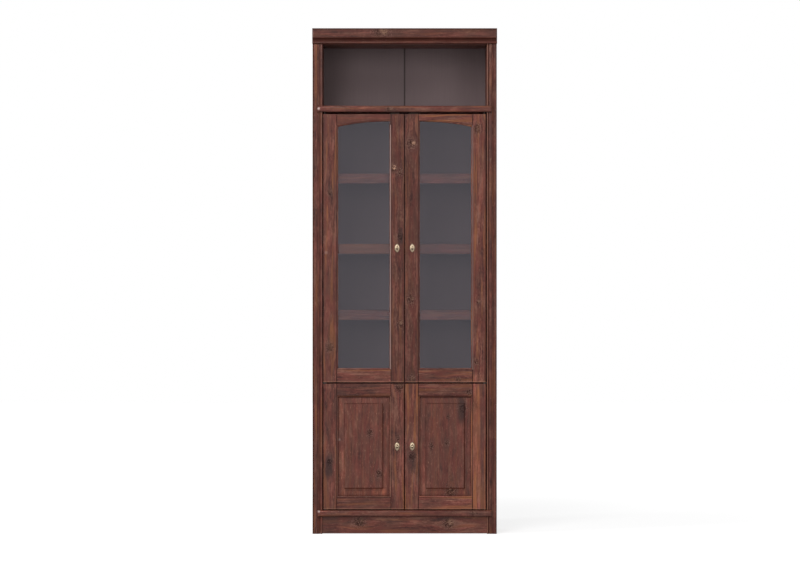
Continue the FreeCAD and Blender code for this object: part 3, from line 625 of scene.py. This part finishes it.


# where the wood is painted darker or paler: painted shade in the cornice's cove, along its lower
# edge and its top, on the left outer arris, in the sides' hollows, on the doors' right-facing
# edges and under the lower doors' top rails; dark joints on the sides and in the doors' frames;
# painted highlights on the arrises beside the panes and on the right side's bead
coveShade = (2, 2.1446, 2.1600, 0.0015, 0.66, "groove")
corniceUnderShade = (2, 2.1200, 2.1358, 0.0015, 0.6, "groove")
corniceTopShade = (2, 2.1950, 2.3, 0.003, 0.7, "groove")
leftEdgeShade = (0, -0.5, -0.3975, 0.005, 0.9, "groove", 1, -0.2, -0.122)
leftJointStain = (0, -0.3815, -0.3780, 0.0012, 0.35, "groove")
leftHollowShade = (0, -0.3735, -0.3655, 0.0018, 0.45, "groove")
rightJointStain = (0, 0.3765, 0.3800, 0.0012, 0.35, "groove")
rightHollowShade = (0, 0.3630, 0.3668, 0.0016, 0.6, "groove")
rightLineStain = (0, 0.3852, 0.3880, 0.0012, 0.45, "groove")
leftArrisHighlight = (0, -0.0634, -0.0598, 0.0006, 0.75, "pale", 2, 0.715, 1.78)
outerArrisHighlight = (0, 0.2946, 0.2976, 0.0006, 0.65, "pale", 2, 0.715, 1.78)
lowLeftArrisHighlight = (0, -0.0634, -0.0608, 0.0008, 0.32, "fleck")
rightBeadHighlight = (0, 0.3587, 0.3623, 0.0008, 0.30, "fleck")
rightEdgeShade = (0, 0.3500, 0.3540, 0.0008, 0.45, "groove")
middleEdgeShade = (0, -0.0032, 0.0, 0.0008, 0.6, "groove")
jointPlaces = (0.2955, 0.0595)
jointStain = {"half": 0.0011, "soft": 0.0009, "share": 0.9}
# the doors' lower arrises are painted paler
doorArris = {"upper": (2, 0.6608, 0.6645, 0.0008, 0.30, "fleck"),
             "lower": (2, 0.1078, 0.1115, 0.0008, 0.30, "fleck")}
# painted shade along the lower edge of the lower doors' top rails
underRailShade = (2, 0.5955, 0.5990, 0.0008, 0.6, "groove")
# painted shade round the raised fields of the panels, strongest on their right and bottom edges,
# and on the bevels beside them painted light mixed with lighter wood; one darker cloud in the
# right field
leftPanelAreas = [
    (-0.2625, -0.2597, 0.0008, 0.193, 0.567, 0.001, 0.25, "groove"),
    (-0.0985, -0.0935, 0.0010, 0.199, 0.567, 0.001, 0.60, "groove"),
    (-0.261, -0.094, 0.001, 0.1967, 0.2000, 0.0008, 1.0, "groove"),
    (-0.261, -0.120, 0.005, 0.5655, 0.5690, 0.0010, 0.35, "groove"),
    (-0.286, -0.267, 0.003, 0.510, 0.590, 0.060, 1.0, "sunny"),
    (-0.284, -0.262, 0.004, 0.190, 0.340, 0.080, 0.70, "sunny"),
    (-0.265, -0.080, 0.010, 0.176, 0.196, 0.003, 0.20, "sunny"),
    (-0.136, -0.090, 0.012, 0.172, 0.194, 0.005, 0.65, "sunny"),
    (-0.095, -0.080, 0.003, 0.180, 0.255, 0.040, 0.50, "sunny"),
]
rightPanelAreas = [
    (0.0900, 0.0930, 0.0008, 0.199, 0.567, 0.001, 0.25, "groove"),
    (0.2575, 0.2620, 0.0010, 0.199, 0.567, 0.001, 0.75, "groove"),
    (0.094, 0.261, 0.001, 0.1967, 0.2000, 0.0008, 1.0, "groove"),
    (0.094, 0.261, 0.005, 0.5655, 0.5690, 0.0010, 0.35, "groove"),
    (0.068, 0.088, 0.004, 0.200, 0.350, 0.060, 0.55, "sunny"),
    (0.094, 0.261, 0.005, 0.176, 0.196, 0.003, 0.40, "sunny"),
    (0.240, 0.256, 0.014, 0.510, 0.570, 0.040, 0.60, "soot"),
]
# clouds in the wood of stiles, rails and one lip, and a darker patch at the plinth's left end
lightCloud = (-0.345, -0.331, 0.005, 1.270, 1.470, 0.060, 0.35, "sunny")
sideCloud = (0.304, 0.325, 0.008, 0.180, 0.600, 0.060, 0.30, "orange")
sideLine = (0.3325, 0.3440, 0.0060, 0.110, 0.640, 0.060, 0.45, "soot")
knobCloud = (-0.026, -0.010, 0.006, 1.272, 1.322, 0.020, 0.50, "soot")
footCloud = (0.299, 0.349, 0.004, 0.664, 0.690, 0.006, 0.45, "sunny")
railClouds = [(-0.300, -0.262, 0.020, 0.604, 0.622, 0.008, 0.35, "soot"),
              (-0.150, -0.132, 0.008, 0.604, 0.616, 0.006, 0.35, "soot")]
lipCloud = (-0.300, -0.050, 0.010, 1.215, 1.265, 0.002, 0.45, "orange")
plinthCloud = (-0.352, -0.300, 0.030, 0.010, 0.070, 0.020, 0.35, "soot")
outerCloud = (-0.338, -0.320, 0.012, 0.270, 0.320, 0.040, 0.65, "soot")
innerCloud = (0.020, 0.046, 0.014, 0.290, 0.350, 0.040, 0.45, "soot")

# wood: way of the grain, tone, warmth, smudges, glued strip width, knots placed one by one
woodLooks = {
    "end_panel_left": {
        "way": "side", "tone": 0.95, "warmth": 0.6, "bands": [leftEdgeShade, leftJointStain]},
    "end_panel_right": {
        "way": "side", "tone": 0.88, "warmth": 0.4, "bands": [rightJointStain, rightLineStain]},
    "side_panel_left": {"way": "side", "tone": 0.97, "warmth": 0.35, "bands": [leftHollowShade]},
    "side_panel_right": {
        "way": "side", "tone": 0.9, "warmth": 0.4, "bands": [rightHollowShade, rightBeadHighlight]},
    "top_panel": {"way": "flat", "strip": 0.09, "tone": 1.1},
    "cornice": {
        "way": "crosswise", "tone": 0.80, "warmth": 0.2, "smudge": 0.2,
        "knots": [(2.181, -0.102, 0.026, 0.35, 0.8)], "bands": [coveShade, corniceUnderShade, corniceTopShade]},
    "counter_board": {"way": "flat", "strip": 0.09},
    "counter_nosing": {
        "way": "crosswise", "tone": 1.08, "warmth": 0.35,
        # a painted highlight on the nosing's rounded left end
        "worn": [(-0.3740, 1.8505, 0.0080, 0.8)], "knots": [(1.846, -0.066, 0.010, 0.2, 0.3)]},
    "middle_board": {"way": "flat", "strip": 0.09, "tone": 1.8},
    "bottom_board": {"way": "flat", "strip": 0.09},
    "base_nosing": {
        "way": "crosswise", "tone": 1.10, "warmth": 0.35,
        # a painted highlight on the nosing's rounded left end
        "worn": [(-0.3735, 0.0985, 0.0080, 0.7)], "knots": [(0.092, 0.300, 0.011, 0.1, 0.3)]},
    "plinth_board": {
        "way": "crosswise", "tone": 1.08, "warmth": 0.3, "smudge": 0.5, "areas": [plinthCloud],
        "knots": [(0.052, -0.196, 0.018, 0.1, 0.6), (0.046, 0.192, 0.017, 0.45, 0.5)]},
    "upper_shelf_1": {"way": "flat", "strip": 0.08},
    "upper_shelf_2": {"way": "flat", "strip": 0.08},
    "upper_shelf_3": {"way": "flat", "strip": 0.08},
    "lower_shelf": {"way": "flat", "strip": 0.08},
    "shelf_lips": {"way": "crosswise", "tone": 1.25, "warmth": 0.35, "areas": [lipCloud]},
    "upper_left_outer_stile": {
        "way": "upright", "tone": 1.05, "warmth": 0.6, "areas": [lightCloud],
        "worn": [(-0.3420, 1.2245, 0.0110, 0.16)],
        "knots": [(-0.326, 1.487, 0.009, 0.1, 0.4), (-0.325, 0.812, 0.014, 0.1, 0.35)]},
    "upper_left_inner_stile": {
        "way": "upright", "tone": 0.77, "warmth": 0.3, "bands": [leftArrisHighlight, middleEdgeShade],
        "areas": [knobCloud],
        "knots": [(-0.049, 1.590, 0.011, 0.9, 0.6), (-0.023, 1.574, 0.011, 0.1, 0.5),
                  (-0.018, 1.296, 0.012, 0.0, 0.3), (-0.018, 0.9145, 0.010, 0.3, 0.6)]},
    "upper_left_arched_rail": {"way": "crosswise", "tone": 1.0, "warmth": 0.35, "contrast": 0.6},
    "upper_left_bottom_rail": {"way": "crosswise", "tone": 1.18, "warmth": 0.6},
    "upper_right_inner_stile": {
        "way": "upright", "tone": 0.78, "warmth": 0.3,
        "knots": [(0.036, 1.696, 0.011, 0.7, 0.5), (0.029, 1.697, 0.014, 0.0, 0.6),
                  (0.026, 1.021, 0.015, 0.1, 0.9), (0.030, 0.673, 0.011, 0.2, 0.6)]},
    "upper_right_outer_stile": {
        "way": "upright", "tone": 1.07, "warmth": 0.6, "bands": [rightEdgeShade, outerArrisHighlight],
        "areas": [footCloud],
        "knots": [(0.317, 1.765, 0.015, 0.1, 0.7), (0.3226, 1.009, 0.007, 0.3, 0.7),
                  (0.312, 0.748, 0.009, 0.0, 0.4)]},
    "upper_right_arched_rail": {"way": "crosswise", "tone": 1.1, "warmth": 0.8},
    "upper_right_bottom_rail": {
        "way": "crosswise", "tone": 1.0, "warmth": 0.5,
        "knots": [(0.669, 0.234, 0.009, 0.1, 0.4)]},
    "lower_left_outer_stile": {
        "way": "upright", "tone": 1.02, "warmth": 0.4, "smudge": 0.5, "areas": [outerCloud],
        "knots": [(-0.327, 0.312, 0.010, 0.0, 0.3)]},
    "lower_left_inner_stile": {
        "way": "upright", "tone": 1.13, "warmth": 0.5, "bands": [lowLeftArrisHighlight, middleEdgeShade],
        "knots": [(-0.025, 0.645, 0.018, 0.1, 0.9), (-0.030, 0.418, 0.008, 0.0, 0.3)]},
    "lower_left_top_rail": {
        "way": "crosswise", "tone": 0.90, "warmth": 0.3, "areas": railClouds,
        "bands": [underRailShade]},
    "lower_left_bottom_rail": {"way": "crosswise", "tone": 0.98, "warmth": 0.4},
    "lower_left_panel": {
        "way": "upright", "tone": 1.10, "warmth": 0.12, "strip": 0.038, "contrast": 0.5,
        "areas": leftPanelAreas, "worn": [(-0.2840, 0.4100, 0.0080, 0.22)],
        "knots": [(-0.151, 0.440, 0.011, 0.0, 0.6), (-0.112, 0.262, 0.011, 0.0, 0.6)]},
    "lower_right_inner_stile": {
        "way": "upright", "tone": 1.1, "warmth": 0.6, "areas": [innerCloud],
        "knots": [(0.034, 0.340, 0.014, 0.0, 0.4)]},
    "lower_right_outer_stile": {
        "way": "upright", "tone": 1.62, "warmth": 0.6, "areas": [sideCloud, sideLine],
        "bands": [rightEdgeShade]},
    "lower_right_top_rail": {
        "way": "crosswise", "tone": 0.97, "warmth": 0.4, "bands": [underRailShade],
        "knots": [(0.617, 0.281, 0.008, 0.0, 0.4)]},
    "lower_right_bottom_rail": {"way": "crosswise", "tone": 1.36, "warmth": 0.6},
    "lower_right_panel": {
        "way": "upright", "tone": 1.10, "warmth": 0.15, "strip": 0.038, "smudge": 0.45,
        "contrast": 0.5, "areas": rightPanelAreas,
        "knots": [(0.115, 0.384, 0.010, 0.0, 0.35), (0.200, 0.180, 0.017, 0.0, 0.8),
                  (0.252, 0.545, 0.014, 0.0, 0.3), (0.190, 0.510, 0.006, 0.0, 0.5),
                  (0.185, 0.397, 0.008, 0.0, 0.4)]},
}
for side, sign in (("left", -1), ("right", 1)):
    woodLooks["upper_%s_glazing_beads" % side] = {"way": "upright", "tone": 0.95}
    joints = [(0, sign * x - jointStain["half"], sign * x + jointStain["half"],
               jointStain["soft"], jointStain["share"], "soot") for x in jointPlaces]
    for node, look in woodLooks.items():
        if side in node and (node.endswith("_stile") or node.endswith("_rail")):
            look["bands"] = joints + look.get("bands", []) + [doorArris[node[:5]]]

# each board has its own seed, and its pith lies off its middle by a sine of its number
boardDraw = {"seedStep": 7.3, "pithReach": 0.02, "pithTurn": 5.0}
for number, (node, look) in enumerate(sorted(woodLooks.items())):
    low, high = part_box(node)
    axes = boardAxes[look["way"]]
    middle = (low[axes[0]] + high[axes[0]]) / 2
    aside = boardDraw["pithReach"] * math.sin(boardDraw["pithTurn"] * number)
    dress(node, pineMaterial("pine_" + node, seed=number * boardDraw["seedStep"],
                             start=low[axes[2]], pith=middle + aside, **look))
print("pine boards dressed:", len(woodLooks))

nodeFinish = {
    "_glass": "glass", "_pivot_bushes": "bushPlastic", "shelf_pins": "steel",
    "board_pivot_pins": "darkSteel", "middle_pivots": "darkSteel",
    "wall_brackets": "steel", "back_joint_strip": "strip",
    "back_panel_left": "backLeft", "back_panel_right": "backRight",
}
for node in cadNodes:
    for ending, finish in nodeFinish.items():
        if node.endswith(ending):
            dress(node, finishes[finish])
print("backs, glass and fittings dressed")

# directions of a shell's two outline axes and of its rise
facings = {
    "front": ((1, 0, 0), (0, 0, 1), (0, -1, 0)),
    "back": ((-1, 0, 0), (0, 0, 1), (0, 1, 0)),
    "up": ((1, 0, 0), (0, 1, 0), (0, 0, 1)),
}


# a circle: cosine and sine of the turn
def circle(turns):
    return np.stack([np.cos(turns), np.sin(turns)], axis=-1)


# a box with round corners: the signed power 2/n of cosine and sine, times the half sides
def roundBox(halfWidth, halfHeight, power):
    def outline(turns):
        both = circle(turns)
        return np.sign(both) * np.abs(both) ** (2 / power) * (halfWidth, halfHeight)
    return outline


# a pointed oval: two equal arcs through the points and the widest places; the distance from
# the middle is where a ray meets the arc whose centre lies on the other side
def pointedOval(halfWidth, halfHeight):
    radius = (halfWidth ** 2 + halfHeight ** 2) / (2 * halfWidth)
    aside = radius - halfWidth

    def outline(turns):
        both = circle(turns)
        reach = np.sqrt(radius ** 2 - (aside * both[:, 1]) ** 2) - aside * np.abs(both[:, 0])
        return both * reach[:, None]
    return outline


# a cross-shaped recess: full depth where either arm covers the place, none outside
def crossRecess(arm, length, depth):
    def relief(across, up):
        arms = (np.abs(across) < arm) | (np.abs(up) < arm)
        return -depth * (arms & (np.hypot(across, up) < length))
    return relief


# a closed shell: each row is the outline scaled by that row's reach and lifted by its rise;
# the first and the last row end in one point each. Rows are (reach, rise, patina and painted
# shade); the last argument is painted shade that darkens the lower side more
def makeShell(centre, facing, outline, rows, columns=48, relief=None, shadeBelow=0.0):
    rows = np.array(rows, dtype=float)
    turns = np.linspace(0, 2 * np.pi, columns, endpoint=False)
    flat = rows[:, 0, None, None] * outline(turns)[None]
    rise = np.repeat(rows[:, 1, None], columns, axis=1)
    if relief is not None:
        top = np.arange(len(rows)) > np.argmax(rows[:, 0])
        rise = rise + top[:, None] * relief(flat[..., 0], flat[..., 1])
    across, up, out = (np.array(axis, dtype=float) for axis in facings[facing])
    points = (np.array(centre) + flat[..., 0, None] * across + flat[..., 1, None] * up
              + rise[..., None] * out)
    ends = points[[0, -1]].mean(axis=1)
    points = np.concatenate([points[1:-1].reshape(-1, 3), ends])
    patinaAndShade = rows[1:-1, 2, None] + shadeBelow * np.clip(-np.sin(turns), 0, 1)
    patinaAndShade = np.clip(np.concatenate([patinaAndShade.ravel(), rows[[0, -1], 2]]), 0, 1)
    grid = np.arange((len(rows) - 2) * columns).reshape(-1, columns)
    beside = np.roll(grid, -1, axis=1)
    quads = np.stack([grid[:-1], beside[:-1], beside[1:], grid[1:]], axis=-1).reshape(-1, 4)
    first = np.full(columns, grid.size)
    fans = np.concatenate([np.stack([beside[0], grid[0], first], axis=-1),
                           np.stack([grid[-1], beside[-1], first + 1], axis=-1)])
    triangles = np.concatenate([quads[:, [0, 1, 2]], quads[:, [0, 2, 3]], fans])
    a, b, c = (points[triangles[:, i]] - points[-1] for i in range(3))
    if np.einsum("ij,ij->", a, np.cross(b, c)) < 0:
        quads, fans = quads[:, ::-1], fans[:, ::-1]
    return points, patinaAndShade, quads, fans


# edges that turn by more than this many radians stay sharp
sharpTurn = 0.6


# joins shells to one mesh, hangs it on its body and puts it in place of its CAD node
def makePiece(name, shells, material, body, replaced):
    offset, points, patinaAndShade, faces = 0, [], [], []
    for shellPoints, shellPatina, quads, fans in shells:
        points.append(shellPoints)
        patinaAndShade.append(shellPatina)
        faces += (quads + offset).tolist() + (fans + offset).tolist()
        offset += len(shellPoints)
    mesh = bpy.data.meshes.new(name)
    mesh.from_pydata(np.concatenate(points).tolist(), [], faces)
    layer = mesh.attributes.new("patinaAndShade", "FLOAT", "POINT")
    layer.data.foreach_set("value", np.concatenate(patinaAndShade).astype(np.float32))
    mesh.polygons.foreach_set("use_smooth", np.ones(len(faces), dtype=bool))
    mesh.set_sharp_from_angle(angle=sharpTurn)
    mesh.materials.append(material)
    piece = bpy.data.objects.new(name, mesh)
    scene.collection.objects.link(piece)
    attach(piece, body)
    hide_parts(replaced)


millimetre = 0.001

# knob: rows of reach and rise in millimetres from the door's face, patina and painted shade
# last; the plate's reach is a share of its outline; the screw has its head radius, head rise,
# shank radius and length in metres
knobLook = {
    "face": -0.133, "back": -0.111, "x": 0.033,
    "heights": {"upper": 1.244, "lower": 0.381},
    "rosetteWidth": 0.0225, "rosetteHeight": 0.039,
    "rosette": ((0.0, 0.0, 1.0), (1.0, 0.0, 1.0), (1.0, 0.3, 1.0), (0.985, 0.8, 0.9),
                (0.955, 1.25, 0.7), (0.92, 1.4, 0.3), (0.87, 1.35, 0.0),
                (0.83, 1.0, 0.3), (0.79, 0.75, 0.6), (0.75, 0.8, 0.4),
                (0.71, 1.05, 0.1), (0.60, 1.25, 0.0), (0.52, 1.4, 0.2),
                (0.42, 1.5, 0.8), (0.0, 1.5, 0.9)),
    # painted shade on the lower sides of the plate and of the ball, and on the ball's underside
    "plateShadeBelow": 0.3, "headShadeBelow": 0.7, "plateColumns": 96, "headColumns": 56,
    "stem": ((0.0, 1.2, 0.9), (5.4, 1.2, 0.9), (5.5, 1.9, 0.7), (5.1, 2.3, 0.4),
             (4.2, 2.7, 0.4), (3.4, 3.6, 0.5), (3.0, 5.0, 0.6), (2.95, 6.4, 0.6),
             (3.3, 6.8, 0.5), (3.8, 7.3, 0.1), (3.9, 7.7, 0.0), (3.8, 8.1, 0.1),
             (3.3, 8.6, 0.6), (3.0, 9.0, 0.8), (3.0, 10.2, 0.9)),
    "headRadius": 6.25, "headCentre": 15.75, "headRows": 18, "neckGap": 0.08,
    "headUnderShade": 0.6, "grooveAngle": 0.95, "grooveWidth": 0.07,
    "grooveDepth": 0.35, "groovePatina": 0.8, "screw": (0.004, 0.0022, 0.002, 0.021),
}


# the head is a ball from the neck to its tip, with one shallow turned groove round the front:
# radius less a bell curve of the angle
def knobRows(look):
    neck = look["stem"][-1][0]
    low = -math.acos(neck / look["headRadius"])
    angles = np.linspace(low + look["neckGap"], math.pi / 2, look["headRows"])
    bell = np.exp(-((angles - look["grooveAngle"]) / look["grooveWidth"]) ** 2)
    radius = look["headRadius"] - look["grooveDepth"] * bell
    # painted shade that darkens the ball's underside
    under = np.clip(-angles, 0, 1) * look["headUnderShade"]
    head = np.stack([radius * np.cos(angles), look["headCentre"] + radius * np.sin(angles),
                     np.clip(under + look["groovePatina"] * bell, 0, 1)], axis=-1)
    head[-1, 0] = 0.0
    rows = np.concatenate([np.array(look["stem"]), head])
    return rows * (millimetre, millimetre, 1)


# a screw's turned form as shares: of the shank's radius at its tip, of the head's rise where
# its side ends, (radius, rise) of its shoulder, radii from the dome's first row to its last,
# and how much lower than the middle the dome is at the rim; of the head's radius the recess's
# half arm, its length and its depth
screwLook = {"tip": 0.6, "side": 0.4, "shoulder": (0.93, 0.75), "dome": (0.82, 0.06),
             "domeRows": 9, "domeFall": 0.15, "recess": (0.14, 0.62, 0.4)}


# a round head with a cross recess over its shank; with no rise it is sunk in a cone instead
def screwShell(place, facing, headRadius, headRise, shankRadius, shankLength, columns=32):
    look = screwLook
    rows = [(0, -shankLength, 0), (shankRadius * look["tip"], -shankLength, 0),
            (shankRadius, -shankLength + shankRadius, 0)]
    if headRise > 0:
        rows += [(shankRadius, 0, 0), (headRadius, 0, 0),
                 (headRadius, headRise * look["side"], 0),
                 (headRadius * look["shoulder"][0], headRise * look["shoulder"][1], 0)]
    else:
        rows += [(shankRadius, shankRadius - headRadius, 0), (headRadius, 0, 0)]
    rows += [(headRadius * share, headRise * (1 - look["domeFall"] * share), 0)
             for share in np.linspace(*look["dome"], look["domeRows"])]
    rows.append((0, headRise, 0))
    recess = crossRecess(*(headRadius * share for share in look["recess"]))
    return makeShell(place, facing, circle, rows, columns, recess)


# stem of the names, level and sign of x of each door
doors = [("%s_%s" % (level, side), level, sign) for level in ("upper", "lower")
         for side, sign in (("left", -1), ("right", 1))]


def makeKnobs(look):
    rosette = pointedOval(look["rosetteWidth"] / 2, look["rosetteHeight"] / 2)
    plate = [(reach, rise * millimetre, worn) for reach, rise, worn in look["rosette"]]
    rows = knobRows(look)
    for stem, level, sign in doors:
        place = (sign * look["x"], look["face"], look["heights"][level])
        behind = (sign * look["x"], look["back"], look["heights"][level])
        shells = [makeShell(place, "front", rosette, plate, look["plateColumns"],
                            shadeBelow=look["plateShadeBelow"]),
                  makeShell(place, "front", circle, rows, look["headColumns"],
                            shadeBelow=look["headShadeBelow"]),
                  screwShell(behind, "back", *look["screw"])]
        makePiece(stem + "_pull", shells, finishes["brass"], stem + "_door",
                  stem + "_knob")


makeKnobs(knobLook)
print("knobs turned")

# catches: each block has its half sides and the power of its round corners; its edge is rows of
# (share of the outline, how far under the face)
catchLook = {
    "x": 0.042, "housing": (0.022, 0.010, 9.0), "housingBack": -0.0955,
    "housingDeep": 0.0137, "housingColumns": 64,
    "housingEdge": ((1, 0.0012), (0.985, 0.0003), (0.96, 0), (0.5, 0)),
    "pole": (0.016, 0.0010, 5.0), "poleApart": 0.0028, "poleReach": 0.0140,
    "poleSunk": 0.002, "poleEdge": ((1, 0.0001), (0.97, 0)), "poleColumns": 32,
    "plate": (0.018, 0.006, 8.0), "plateBack": -0.111, "plateThick": 0.0012,
    "plateEdge": ((1, 0.00036), (0.98, 0)), "plateColumns": 64,
    "screw": (0.0026, 0.0, 0.0014, 0.008), "screwColumns": 24,
}


# rows of a block with a flat back and a flat face
def blockRows(back, face, edge):
    return ([(0, back, 0), (1, back, 0)] + [(share, face - under, 0) for share, under in edge]
            + [(0, face, 0)])


# catches on the case and their steel plates on the doors, heights taken from the CAD's boxes
def makeCatches(look):
    low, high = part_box("magnetic_catches")
    heights = {"upper": high[2] - look["housing"][1], "lower": low[2] + look["housing"][1]}
    deep, thick, back = look["housingDeep"], look["plateThick"], look["housingBack"]
    body = blockRows(0, deep, look["housingEdge"])
    bar = blockRows(deep - look["poleSunk"], look["poleReach"], look["poleEdge"])
    plate = blockRows(0, thick, look["plateEdge"])
    housings, poles, plates = [], [], []

    def block(kind, place, facing, rows):
        return makeShell(place, facing, roundBox(*look[kind]), rows, look[kind + "Columns"])

    for stem, level, sign in doors:
        x = sign * look["x"]
        low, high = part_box(stem + "_strike_plate")
        middle = (low[2] + high[2]) / 2
        housings.append(block("housing", (x, back, heights[level]), "front", body))
        poles += [block("pole", (x, back, middle + way * look["poleApart"]), "front", bar)
                  for way in (-1, 1)]
        screw = screwShell((x, look["plateBack"] + thick, middle), "back", *look["screw"],
                           look["screwColumns"])
        plates.append([block("plate", (x, look["plateBack"], middle), "back", plate), screw])
    makePiece("catch_housings", housings, finishes["catchPlastic"], "root",
              "magnetic_catches")
    makePiece("catch_poles", poles, finishes["steel"], "root", "magnetic_catches")
    for (stem, _, _), shells in zip(doors, plates):
        makePiece(stem + "_strike_plate_pressed", shells, finishes["steel"], stem + "_door",
                  stem + "_strike_plate")


makeCatches(catchLook)
print("catches made")

# rows of case screws; each kind has its head radius, head rise, shank radius and length
caseScrewLook = {
    "back": (0.003, 0.0016, 0.0015, 0.018), "backY": 0.153,
    "backX": (0.022, 0.1785, 0.335), "backZ": (0.0895, 0.644, 1.8495, 2.144),
    "backColumns": 24,
    "leaf": (0.0035, 0.0, 0.00175, 0.015), "leafX": 0.347, "leafZ": 0.658,
    "leafY": (-0.082, -0.096),
    "foot": (0.0038, 0.002, 0.002, 0.016), "footX": (0.2925, 0.3065),
    "footY": 0.135, "footZ": 2.157,
}


def makeCaseScrews(look):
    shells = []
    for sign in (-1, 1):
        shells += [screwShell((sign * x, look["backY"], z), "back", *look["back"],
                              look["backColumns"])
                   for x in look["backX"] for z in look["backZ"]]
        shells += [screwShell((sign * look["leafX"], y, look["leafZ"]), "up", *look["leaf"])
                   for y in look["leafY"]]
        shells += [screwShell((sign * x, look["footY"], look["footZ"]), "up", *look["foot"])
                   for x in look["footX"]]
    makePiece("case_screw_set", shells, finishes["steel"], "root", "case_screws")


makeCaseScrews(caseScrewLook)
print("screws made")

low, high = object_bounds()
